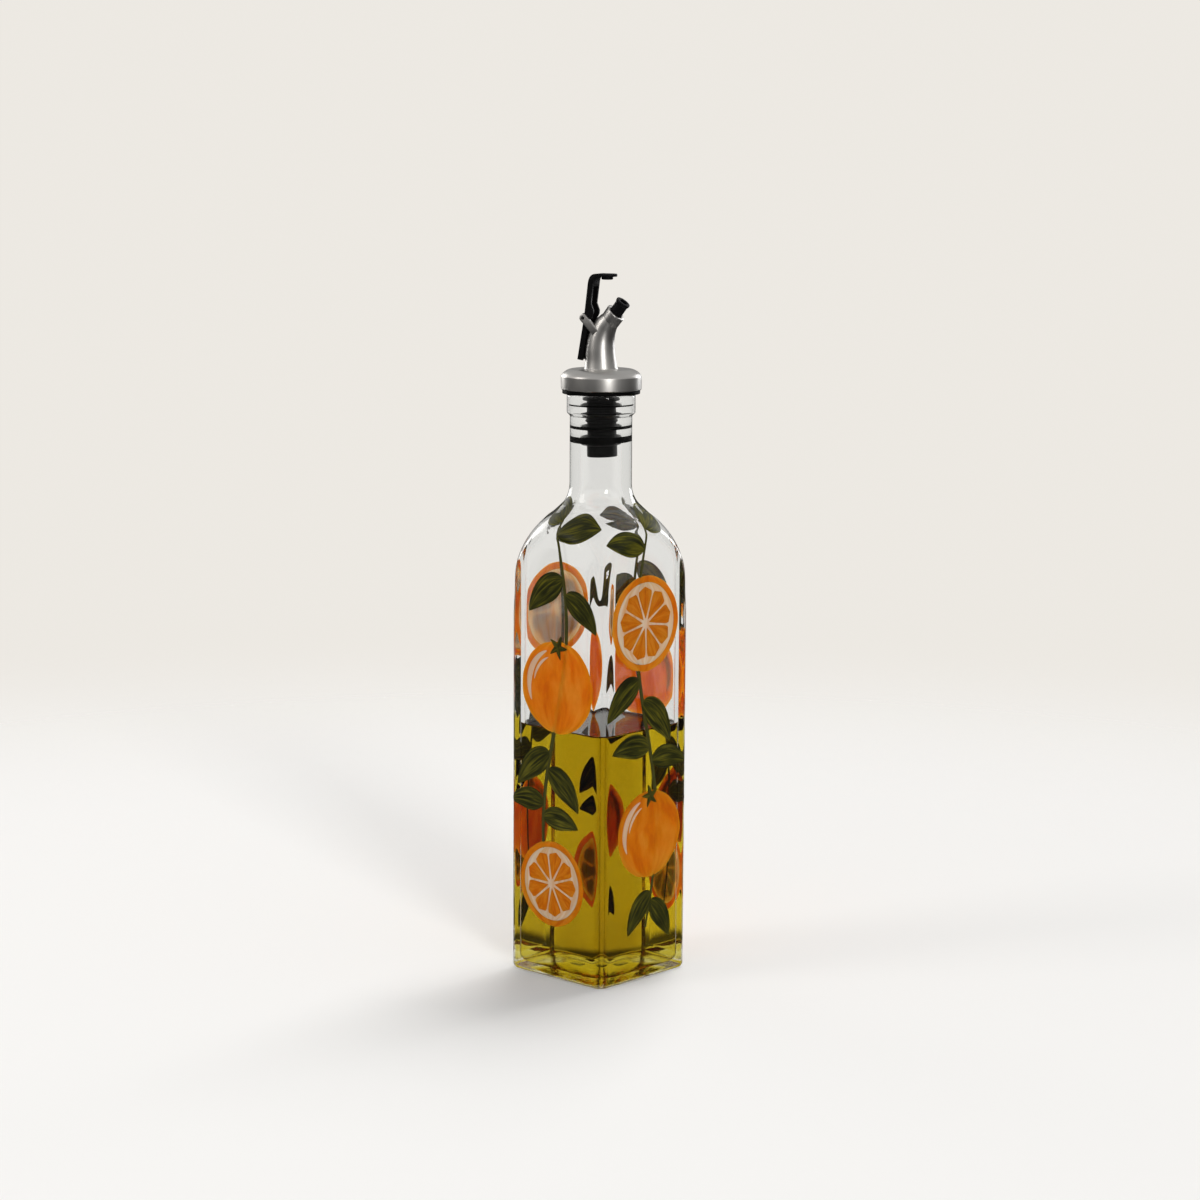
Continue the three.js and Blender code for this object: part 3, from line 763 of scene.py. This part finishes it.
def product(tree, first, second):
    made = node(tree, "Math", operation="MULTIPLY", Value=first)
    tree.links.new(second, made.inputs[1])
    return made.outputs[0]


def bump(shader, height, strength, depth):
    tree = shader.id_data
    made = node(tree, "Bump", Strength=strength, Distance=depth * MM, Height=height)
    tree.links.new(made.outputs[0], shader.inputs["Normal"])


def principled(name, colour, roughness, metallic=0.0, **values):
    """A material with one principled shader, and that shader."""
    material, tree, output = new_material(name)
    looks = {"Base_Color": (*colour, 1), "Roughness": roughness, "Metallic": metallic, **values}
    shader = node(tree, "BsdfPrincipled", **looks)
    tree.links.new(shader.outputs[0], output.inputs["Surface"])
    return material, shader


def let_lamps_through(shader, tint):
    """Lamps shine through this shader, tinted, as they do through real glass."""
    tree, surface = shader.id_data, shader.outputs[0].links[0].to_socket
    path = node(tree, "LightPath")
    clear = node(tree, "BsdfTransparent", Color=(*tint, 1))
    mix = mixed(tree, path.outputs["Is Shadow Ray"], shader, clear)
    tree.links.new(mix.outputs[0], surface)


def glass_material(name, ior):
    material, shader = principled(name, GLASS_COLOUR, 0.0, IOR=ior, Transmission_Weight=1.0)
    # The heel is stippled, as a bottle's bearing surface is
    tree = material.node_tree
    where = node(tree, "TexCoord").outputs["Object"]
    height = node(tree, "SeparateXYZ", Vector=where).outputs["Z"]
    mask = map_range(tree, height, (HEEL_STIPPLE[0] * MM, HEEL_STIPPLE[1] * MM), kind="LINEAR")
    noise = node(tree, "TexNoise", Vector=where, Scale=STIPPLE_SCALE, Detail=2.0).outputs["Fac"]
    bump(shader, noise, mask, STIPPLE_DEPTH)
    let_lamps_through(shader, LAMPS_THROUGH_GLASS)
    return material


def oil_material(name, ior):
    material, shader = principled(name, (1.0, 1.0, 1.0), 0.0, IOR=ior, Transmission_Weight=1.0)
    tree, output = material.node_tree, shader.outputs[0].links[0].to_node
    absorb = node(tree, "VolumeAbsorption", Color=OIL_COLOUR, Density=OIL_DENSITY)
    tree.links.new(absorb.outputs[0], output.inputs["Volume"])
    return material


def noise_over(tree, scale, detail):
    """A noise through the whole object."""
    where = node(tree, "TexCoord").outputs["Object"]
    return node(tree, "TexNoise", Vector=where, Scale=scale, Detail=detail).outputs["Fac"]


def grain(shader, scale, strength, depth=0.02):
    """A fine bump over the whole surface."""
    noise = noise_over(shader.id_data, scale, 6.0)
    bump(shader, noise, strength, depth)
    return noise


def roughen(shader, noise, low, high):
    """A roughness that a noise takes from low to high."""
    tree = shader.id_data
    tree.links.new(map_range(tree, noise, (0.3, 0.7), (low, high), "LINEAR"), shader.inputs["Roughness"])


def metal_material():
    material, shader = principled("satin_metal", (0.74, 0.725, 0.70), 0.36, 1.0)
    grain(shader, 2600, 0.25)
    roughen(shader, noise_over(material.node_tree, 120, 4.0), 0.33, 0.40)
    return material


def plastic_material():
    material, shader = principled("black_plastic", (0.005, 0.005, 0.0055), 0.48, Specular_IOR_Level=0.14)
    roughen(shader, grain(shader, 3000, 0.3), 0.36, 0.5)
    return material


def rubber_material():
    material, shader = principled("black_rubber", (0.003, 0.003, 0.0028), 0.5, Specular_IOR_Level=0.05)
    roughen(shader, grain(shader, 1800, 0.35, 0.03), 0.42, 0.6)
    return material


def pin_material():
    material, shader = principled("pin_steel", (0.07, 0.07, 0.07), 0.4, 1.0)
    grain(shader, 2400, 0.2)
    return material


# Three tones of each paint, dark to light
ORANGE_TONES = ((0.62, 0.135, 0.001), (0.72, 0.185, 0.002), (0.80, 0.26, 0.018))
PALE_TONES = ((0.80, 0.40, 0.20), (0.84, 0.50, 0.33), (0.88, 0.62, 0.48))
LEAF_TONES = ((0.012, 0.013, 0.0015), (0.032, 0.034, 0.002), (0.150, 0.135, 0.006))
STEM_TONES = ((0.030, 0.030, 0.005), (0.060, 0.058, 0.008), (0.120, 0.110, 0.012))


def brushed_material(name, tones, roughness, glow=0.0, streaks=(5.5, 0.75)):
    """Brush-laid paint: streaks of three tones along the strokes, with a low ridge to each."""
    under = {"Subsurface_Weight": glow, "Subsurface_Radius": (1, 0.75, 0.5), "Subsurface_Scale": 1.5 * MM}
    material, shader = principled(name, tones[1], roughness, Specular_IOR_Level=0.25, **under)
    tree = material.node_tree
    strokes = node(tree, "UVMap", uv_map="Strokes").outputs[0]
    stretched = node(tree, "Mapping", Vector=strokes, Scale=(*streaks, 1)).outputs[0]
    noise = node(tree, "TexNoise", Vector=stretched, Scale=1.0, Detail=5.0, Roughness=0.6, Distortion=0.25)
    ramp = node(tree, "ValToRGB", Fac=noise.outputs["Fac"])
    elements = ramp.color_ramp.elements
    elements[0].position, elements[1].position = 0.36, 0.66
    elements[0].color, elements[1].color = (*tones[0], 1), (*tones[2], 1)
    elements.new(0.49).color = (*tones[1], 1)
    finer = node(tree, "Mapping", Vector=strokes, Scale=(22, 1.2, 1)).outputs[0]
    bristles = node(tree, "TexNoise", Vector=finer, Scale=1.0, Detail=3.0).outputs["Fac"]
    tree.links.new(ramp.outputs["Color"], shader.inputs["Base Color"])
    bump(shader, bristles, 0.5, 0.12)
    return material


def dress(piece, material, slot, body, *replaced):
    if material is not None:
        piece.data.materials.clear()
        piece.data.materials.append(material)
    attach(piece, body)
    if replaced:
        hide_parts(*replaced)


# Painted oranges, orange wheels and leaves on the outside of the glass
FLAT_HALF = HALF_SIDE - CORNER_RADIUS
CORNER_ARC = CORNER_RADIUS * pi / 2
# For each layer of paint: how far it stands out of the glass, how far it reaches in, and how high
# the paint that it lies on is
STEM_LAYER = (0.14, 0.10, 0)
LEAF_LAYER = (0.22, 0.085, 0)
FRUIT_LAYER = (0.30, 0.07, 0)
PITH_LAYER = (0.30, 0.055, 0)
DETAIL_LAYER = (0.44, 0.04, 0.30)


def glass_angles(side, across):
    """Angles round the bottle of points so far across one of its sides. They may run on round a corner."""
    pitch = 2 * FLAT_HALF + CORNER_ARC
    turns = np.round(across / pitch)
    across = across - turns * pitch
    bend = np.maximum(np.abs(across) - FLAT_HALF, 0) / CORNER_RADIUS
    x = np.where(bend > 0, FLAT_HALF + CORNER_RADIUS * np.cos(bend), HALF_SIDE)
    y = np.where(bend > 0, np.sign(across) * (FLAT_HALF + CORNER_RADIUS * np.sin(bend)), across)
    return np.arctan2(y, x) + (side + turns) * pi / 2


def glass_points(side, across, z):
    angles = glass_angles(side, across)
    limits = np.array([dome_radius(height, SHOULDER) for height in z])
    radii = smooth_min(square_radius(angles, HALF_SIDE, CORNER_RADIUS), limits, SHOULDER_BLEND)
    radii = radii + waviness(angles, z, OUTSIDE_WAVE)
    return circle(radii, z, angles)


def glass_frames(side, across, z):
    """Points on the glass and the directions straight out of it."""
    along = glass_points(side, across + 0.2, z) - glass_points(side, across - 0.2, z)
    up = glass_points(side, across, z + 0.2) - glass_points(side, across, z - 0.2)
    out = np.cross(along, up)
    return glass_points(side, across, z), out / np.linalg.norm(out, axis=1)[:, None]


def edge_of(cells):
    return np.concatenate([cells[0], cells[1:, -1], cells[-1, -2::-1], cells[-2:0:-1, 0]])


class Paint:
    """Films of paint of one colour, gathered into one piece."""

    def __init__(self, name):
        self.name, self.points, self.faces, self.strokes = name, [], [], []

    def film(self, side, grid, layer, strokes, round_grid=False, hole=False):
        """One film from a grid of (across, z) points, thin at its rim and as thick as the layer inside."""
        rows, columns = len(grid), len(grid[0])
        size, first = rows * columns, len(self.points)
        flat = np.array(grid, float).reshape(size, 2)
        here, out = glass_frames(side, flat[:, 0], flat[:, 1])
        i, j = np.divmod(np.arange(size), columns)
        edge = rows - 1 - i if round_grid and not hole else np.minimum(i, rows - 1 - i)
        if not round_grid:
            edge = np.minimum(edge, np.minimum(j, columns - 1 - j))
        height = layer[2] + (layer[0] - layer[2]) * np.minimum(1, 0.3 + 0.35 * edge)
        self.points.extend(here + out * height[:, None])
        self.points.extend(here - out * layer[1])
        self.strokes.extend(list(np.array(strokes, float).reshape(size, 2)) * 2)
        cells = np.arange(first, first + size).reshape(rows, columns)
        for low, high in zip(cells, cells[1:]):
            for j in range(columns if round_grid else columns - 1):
                k = (j + 1) % columns
                face = (low[j], low[k], high[k], high[j])
                self.faces += [face, tuple(v + size for v in face[::-1])]
        if hole:
            self.wall(cells[0], size, inward=True)
        elif round_grid:
            self.faces += [cells[0][::-1], cells[0] + size]
        self.wall(cells[-1] if round_grid else edge_of(cells), size)

    def wall(self, loop, size, inward=False):
        """Joins the outer and inner skin of a film along a closed loop of points."""
        for a, b in zip(loop, np.roll(loop, -1)):
            if inward:
                a, b = b, a
            self.faces.append((a, b, b + size, a + size))

    def disc(self, side, centre, radius, layer, wobble=0.0, phase=0.0, tall=1.0, hole=0.0, rings=12):
        """A round film, slightly uneven and brushed from top to bottom. It may be a ring round a hole."""
        columns = 72
        grid, strokes = [], []
        for i in range(rings + 1):
            inside = hole or 0.02
            share = inside + (1 - inside) * i / rings
            row, marks = [], []
            for j in range(columns):
                turn = 2 * pi * j / columns
                uneven = 0.6 * sin(3 * turn + phase) + 0.4 * sin(5 * turn + 2 * phase)
                uneven += 0.35 * sin(13 * turn + 3 * phase)
                reach = radius * share * (1 + wobble * uneven * share)
                x, y = reach * cos(turn), reach * tall * sin(turn)
                row.append((centre[0] + x, centre[1] + y))
                height = y / radius / tall
                breadth = max(sqrt(max(1.05 - height * height, 0)), 0.25)
                marks.append((x / radius / breadth + centre[0], height + centre[1] / radius))
            grid.append(row)
            strokes.append(marks)
        self.film(side, grid, layer, strokes, round_grid=True, hole=hole > 0)

    def ribbon(self, side, line, widths, layer, columns=7, offset=0.0):
        """A film along a line of (across, z) points, brushed lengthwise."""
        grid, strokes, gone = [], [], 0.0
        shares = [2 * j / (columns - 1) - 1 for j in range(columns)]
        for i, (here, width) in enumerate(zip(line, widths)):
            before, after = Vector(line[max(i - 1, 0)]), Vector(line[min(i + 1, len(line) - 1)])
            along = (after - before).normalized()
            square = Vector((-along.y, along.x))
            if i:
                gone += (Vector(here) - Vector(line[i - 1])).length
            grid.append([tuple(Vector(here) + square * width * share) for share in shares])
            strokes.append([(share + offset, gone / 12 + offset) for share in shares])
        self.film(side, grid, layer, strokes)

    def make(self, material, slot):
        piece = mesh(self.name, self.points, self.faces)
        layer = piece.data.uv_layers.new(name="Strokes")
        for loop in piece.data.loops:
            layer.data[loop.index].uv = self.strokes[loop.vertex_index]
        outward(piece)
        smooth(piece.data, 50)
        dress(piece, material, slot, "bottle")


def bent_line(start, heading, length, bend, steps=16):
    """Points of a line that leaves start at a heading and turns by bend on its way, both in degrees."""
    line, here = [Vector(start)], Vector(start)
    for i in range(steps):
        angle = radians(heading + bend * (i + 0.5) / steps)
        here = here + Vector((cos(angle), sin(angle))) * length / steps
        line.append(here.copy())
    return [tuple(p) for p in line]


def paint_leaf(leaves, side, start, heading, length, width, bend, offset):
    line = bent_line(start, heading, length, bend, 20)
    widths = []
    for i in range(21):
        t = i / 20
        widths.append(max(width * sin(pi * t**0.8) ** 0.75 * (1.08 - 0.25 * t), 0.12))
    leaves.ribbon(side, line, widths, LEAF_LAYER, 9, offset)


def paint_orange(oranges, pale, leaves, side, centre, radius, phase):
    """A whole orange with a star of sepals on top and a pale glint on its shoulder."""
    oranges.disc(side, centre, radius, FRUIT_LAYER, 0.012, phase, 0.97)
    for share, width, last in ((0.80, 1.5, 205), (0.66, 0.7, 170)):
        line = around(centre, share * radius, np.radians(np.linspace(112, last, 22)))
        widths = [max(width * sin(pi * (i + 0.5) / 22) ** 0.7, 0.1) for i in range(22)]
        pale.ribbon(side, line, widths, DETAIL_LAYER, 5, phase)
    top = (centre[0] + 0.5, centre[1] + 0.84 * radius)
    for i in range(5):
        line = bent_line(top, 90 + 72 * i + 10 * phase, 0.26 * radius, 14, 8)
        widths = [max(0.075 * radius * (1 - j / 8) ** 0.7 + 0.05, 0.1) for j in range(9)]
        leaves.ribbon(side, line, widths, DETAIL_LAYER, 5, phase + i)


def paint_wheel(oranges, pale, side, centre, radius, phase, segments=9):
    """A cut orange: rind, pale pith and a ring of segments."""
    oranges.disc(side, centre, radius, FRUIT_LAYER, 0.010, phase, hole=0.85, rings=4)
    pale.disc(side, centre, 0.875 * radius, PITH_LAYER, 0.006, phase + 1)
    shares = [2 * j / 6 - 1 for j in range(7)]
    for i in range(segments):
        middle = 2 * pi * i / segments + 0.3 * phase
        grid, strokes = [], []
        for row in range(11):
            t = row / 10
            reach = radius * (0.10 + 0.67 * t)
            room = pi / segments - 0.55 / reach
            half = max(room, 0.06) * (1 - abs(2 * t - 1.0) ** 6) ** 0.5 + 0.012
            grid.append(around(centre, reach, [middle + half * share for share in shares]))
            strokes.append([(0.7 * share + 3 * i, 1.6 * t + phase) for share in shares])
        oranges.film(side, grid, DETAIL_LAYER, strokes)


# The leaves of the two kinds of side: height on the stem, heading in degrees, length, width and bend
FIRST_SPRIGS = (
    (205, 30, 26, 6.0, -40), (196, 155, 24, 5.6, 35),
    (138, 205, 27, 6.2, 30), (128, -30, 28, 6.4, -35),
    (106, 160, 25, 5.8, 40), (100, 15, 24, 5.6, -45),
    (40, 215, 24, 5.4, 30), (36, -40, 23, 5.4, -30),
)
SECOND_SPRIGS = (
    (208, 150, 25, 5.8, 35), (202, 25, 27, 6.2, -35),
    (183, 200, 27, 6.4, 35), (176, -20, 25, 6.0, -40),
    (104, 205, 27, 6.2, 30), (96, -25, 26, 6.2, -35),
    (80, 165, 22, 5.4, 35), (74, 10, 22, 5.4, -35),
)
STEM_FOOT = 24
STEM_HEAD = 208
STEM_SWAY = 7
STEM_WAVE = 29.0


def stem_at(sway, z):
    """The point at a height on a stem that waves from side to side, starting towards sway."""
    return sway * STEM_SWAY * sin((z - STEM_FOOT) / STEM_WAVE), z


def paint_stem(stems, side, sway, phase):
    count = 70
    line = [stem_at(sway, z) for z in np.linspace(STEM_HEAD, STEM_FOOT, count)]
    widths = [0.55 + 0.55 * sin(pi * (i + 1) / (count + 1)) for i in range(count)]
    stems.ribbon(side, line, widths, STEM_LAYER, 5, phase)


def paint_bottle():
    oranges, pale = Paint("paint_oranges"), Paint("paint_pale")
    leaves, stems = Paint("paint_leaves"), Paint("paint_stems")
    # Two kinds of side take turns round the bottle
    for side in range(4):
        phase = 0.7 + 1.3 * side
        first = side % 2 == 0
        sway = 1 if first else -1
        paint_stem(stems, side, sway, phase)
        if first:
            paint_wheel(oranges, pale, side, (-1.5, 163), 21.5, phase)
            paint_orange(oranges, pale, leaves, side, (2, 67), 20.5, phase)
        else:
            paint_orange(oranges, pale, leaves, side, (1.5, 134), 21.5, phase)
            paint_wheel(oranges, pale, side, (-1.5, 44), 19.5, phase)
        for i, (z, *sprig) in enumerate(FIRST_SPRIGS if first else SECOND_SPRIGS):
            paint_leaf(leaves, side, stem_at(sway, z), *sprig, phase + i)
    oranges.make(brushed_material("orange_paint", ORANGE_TONES, 0.36, 1.0, (2.6, 0.9)), "fruit_paint")
    pale.make(brushed_material("pale_paint", PALE_TONES, 0.38, 0.8), "fruit_paint")
    leaves.make(brushed_material("leaf_paint", LEAF_TONES, 0.4), "leaf_paint")
    stems.make(brushed_material("stem_paint", STEM_TONES, 0.42), "leaf_paint")


def turn_to_pour(piece):
    """Turns a piece of the pourer from its own axes to those of the whole."""
    piece.data.transform(Matrix.Rotation(POUR_ANGLE, 4, "Z"))
    return piece


def build():
    metal, plastic = metal_material(), plastic_material()
    dry_glass = glass_material("clear_glass", GLASS_IOR)
    wet_glass = glass_material("oiled_glass", GLASS_IOR / OIL_IOR)
    dress(make_bottle(dry_glass, wet_glass), None, "clear_glass", "bottle", "glass_bottle")
    oil = make_oil(oil_material("olive_oil", 1.0), oil_material("oil_surface", OIL_IOR))
    dress(oil, None, "olive_oil", "bottle", "oil")
    dress(make_stopper(), rubber_material(), "black_rubber", "bottle", "stopper")
    dress(turn_to_pour(make_casting()), metal, "satin_metal", "bottle", "pourer_casting")
    dress(turn_to_pour(make_tip()), plastic, "black_plastic", "bottle", "spout_tip")
    dress(turn_to_pour(make_lever()), plastic, "black_plastic", "lever", "lever")
    dress(turn_to_pour(make_pin()), pin_material(), "pin_steel", "bottle", "hinge_pin")
    paint_bottle()


build()


# Floor, light and camera
def by_ray(tree, plain, camera, through, inner, mirrored):
    """Mixes shaders, so that every kind of ray finds its own tone, as with cards round a studio table."""
    path = node(tree, "LightPath").outputs
    once = node(tree, "Math", operation="MINIMUM", Value=path["Glossy Depth"])
    once.inputs[1].default_value = 1
    reflected = product(tree, path["Is Glossy Ray"], path["Is Reflection Ray"])
    latest = mixed(tree, path["Is Camera Ray"], plain, camera)
    beyond = mixed(tree, once.outputs[0], through, inner)
    latest = mixed(tree, path["Is Transmission Ray"], latest, beyond)
    return mixed(tree, reflected, latest, mirrored)


# Tones for light that falls on things, for the camera, for rays straight through glass, for rays that
# were mirrored inside the glass, and for rays mirrored on a surface
FLOOR_TONES = (
    (0.74, 0.74, 0.74),
    (0.88, 0.88, 0.88),
    (0.74, 0.74, 0.735),
    (0.68, 0.68, 0.67),
    (0.05, 0.05, 0.05),
)
SKY_TONES = (
    (0.31, 0.308, 0.303),
    (0.845, 0.815, 0.765),
    (0.83, 0.81, 0.78),
    (0.74, 0.73, 0.70),
    (1.0, 0.99, 0.975),
)
# How bright the surroundings are in mirrors, low down and high up
MIRRORED_SKY = (0.03, 0.40)
MIRRORED_RISE = (-0.05, 0.45)
# The backdrop's tone low down, and the slopes of sight between which it turns into the tone above
BACKDROP_LOW = (0.92, 0.903, 0.884)
BACKDROP_TURN = (-0.24, -0.165)
# Rays mirrored inside the glass find the front of the room this dark. The shade sets in over a reach,
# in metres on the floor and, for the sky, in how straight a ray runs to the front
FRONT_SHADE = 0.12
FRONT_SHADE_REACH = (0.15, 0.6)


def shade_in_front(tree, where):
    """A factor that falls from 1 to FRONT_SHADE as where, measured along FRONT, runs through its reach."""
    along = node(tree, "VectorMath", operation="DOT_PRODUCT", Vector=where)
    along.inputs[1].default_value = FRONT
    return map_range(tree, along.outputs["Value"], FRONT_SHADE_REACH, (1, FRONT_SHADE))


FLOOR_RADIUS = 4000
FLOOR_DROP = 0.1
# In metres from the middle: where the floor comes out of a painted shade round the bottle's foot, which
# rays through the glass find, and where it fades out
NEAR_REACH = (0.04, 0.055)
NEAR_PAINTED_SHADE = 0.12
FLOOR_FADE = (0.25, 0.9)


def dim(tree, paper, share):
    """Makes a paper's colour darker by a share that varies from place to place."""
    colour = paper.inputs["Color"]
    dimmed = node(tree, "VectorMath", operation="SCALE", Vector=colour.default_value[:3], Scale=share)
    tree.links.new(dimmed.outputs[0], colour)


def floor_material():
    material, tree, output = new_material("floor_paper")
    papers = [node(tree, "BsdfDiffuse", Roughness=1.0, Color=(*tone, 1)) for tone in FLOOR_TONES]
    where = node(tree, "TexCoord").outputs["Object"]
    length = node(tree, "VectorMath", operation="LENGTH", Vector=where).outputs["Value"]
    # Painted shade: seen through the glass, the floor is darker close round the bottle's foot, and seen in
    # mirrors inside the glass, darker towards the front too
    painted_near_shade = map_range(tree, length, NEAR_REACH, (NEAR_PAINTED_SHADE, 1))
    dim(tree, papers[2], painted_near_shade)
    dim(tree, papers[3], product(tree, painted_near_shade, shade_in_front(tree, where)))
    fade = map_range(tree, length, FLOOR_FADE)
    faded = mixed(tree, fade, by_ray(tree, *papers), node(tree, "BsdfTransparent"))
    tree.links.new(faded.outputs[0], output.inputs["Surface"])
    return material


def make_floor():
    rings = [pole(0)]
    for share in (0.1, 0.25, 0.5, 1):
        rings.append(circle(FLOOR_RADIUS * share, 0, even_turn(96)))
    piece = mesh("floor", *skin(rings))
    piece.location.z = -FLOOR_DROP * MM
    piece.data.materials.append(floor_material())


def make_world():
    world = bpy.data.worlds.new("studio")
    bpy.context.scene.world = world
    world.use_nodes = True
    tree = world.node_tree
    tree.nodes.clear()
    skies = [node(tree, "Background", Strength=1.0, Color=(*tone, 1)) for tone in SKY_TONES]
    where = node(tree, "TexCoord").outputs["Generated"]
    height = node(tree, "SeparateXYZ", Vector=where).outputs["Z"]
    tree.links.new(shade_in_front(tree, where), skies[3].inputs["Strength"])
    tree.links.new(map_range(tree, height, MIRRORED_RISE, MIRRORED_SKY), skies[-1].inputs["Strength"])
    backdrop = node(tree, "Mix", data_type="RGBA")
    tree.links.new(map_range(tree, height, BACKDROP_TURN), backdrop.inputs[0])
    backdrop.inputs[6].default_value = (*BACKDROP_LOW, 1)
    backdrop.inputs[7].default_value = (*SKY_TONES[1], 1)
    tree.links.new(backdrop.outputs[2], skies[1].inputs["Color"])
    node(tree, "OutputWorld", Surface=by_ray(tree, *skies).outputs[0])


# In metres: the middle of the bottle, and of its metal
MIDDLE = (0, 0, 0.14)
METAL_MIDDLE = (0, 0, 0.28)
WARM = (1, 0.985, 0.96)
WARMER = (1, 0.955, 0.91)
COOL = (0.985, 0.99, 1)


def area_light(name, azimuth, elevation, distance, size, power, colour, target=MIDDLE, beam=180):
    """A soft box at an azimuth and elevation from its target, in degrees, turned towards it."""
    data = bpy.data.lights.new(name, "AREA")
    data.shape = "RECTANGLE"
    data.size, data.size_y = size
    data.energy = power
    data.color = colour
    data.spread = radians(beam)
    light = new_object(name, data)
    a, e = radians(azimuth), radians(elevation)
    aim = Vector(target)
    way = Vector((cos(a) * cos(e), sin(a) * cos(e), sin(e)))
    light.location = aim + distance * way
    light.rotation_euler = (aim - light.location).to_track_quat("-Z", "Y").to_euler()
    light.visible_camera = False
    light.visible_transmission = False
    return light


def make_camera():
    data = bpy.data.cameras.new("camera")
    data.lens = FOCAL_LENGTH
    data.sensor_width = SENSOR_WIDTH
    camera = new_object("camera", data)
    place = Vector(FRONT) * CAMERA_DISTANCE
    place.z = CAMERA_HEIGHT
    turn = Matrix.Rotation(CAMERA_AZIMUTH, 4, "Z")
    tilt = Matrix.Rotation(pi / 2 - CAMERA_PITCH, 4, "X")
    roll = Matrix.Rotation(CAMERA_ROLL, 4, "Z")
    camera.matrix_world = Matrix.Translation(place * MM) @ turn @ tilt @ roll
    bpy.context.scene.camera = camera


make_floor()
make_world()
# The key lights the things, and the other four are what the metal mirrors
key = area_light("key", 106, 62, 8, (3.8, 3.8), 720, WARM)
key.visible_glossy = False
area_light("left_card", 172, 10, 1.4, (0.7, 0.7), 0.40, WARM, METAL_MIDDLE, 44)
area_light("left_high", -118, 30, 2.0, (0.6, 0.8), 4.5, WARMER)
area_light("right_card", 92, 10, 1.4, (0.5, 0.7), 0.36, COOL, METAL_MIDDLE, 44)
area_light("front", -25, 14, 2.2, (0.45, 0.45), 9, WARM)
make_camera()

GLASS_BOUNCES = 24
scene = bpy.context.scene
scene.view_settings.view_transform = "Standard"
scene.view_settings.look = "None"
scene.cycles.max_bounces = GLASS_BOUNCES
scene.cycles.transmission_bounces = GLASS_BOUNCES
scene.cycles.transparent_max_bounces = GLASS_BOUNCES
scene.cycles.glossy_bounces = 8
scene.cycles.diffuse_bounces = 4
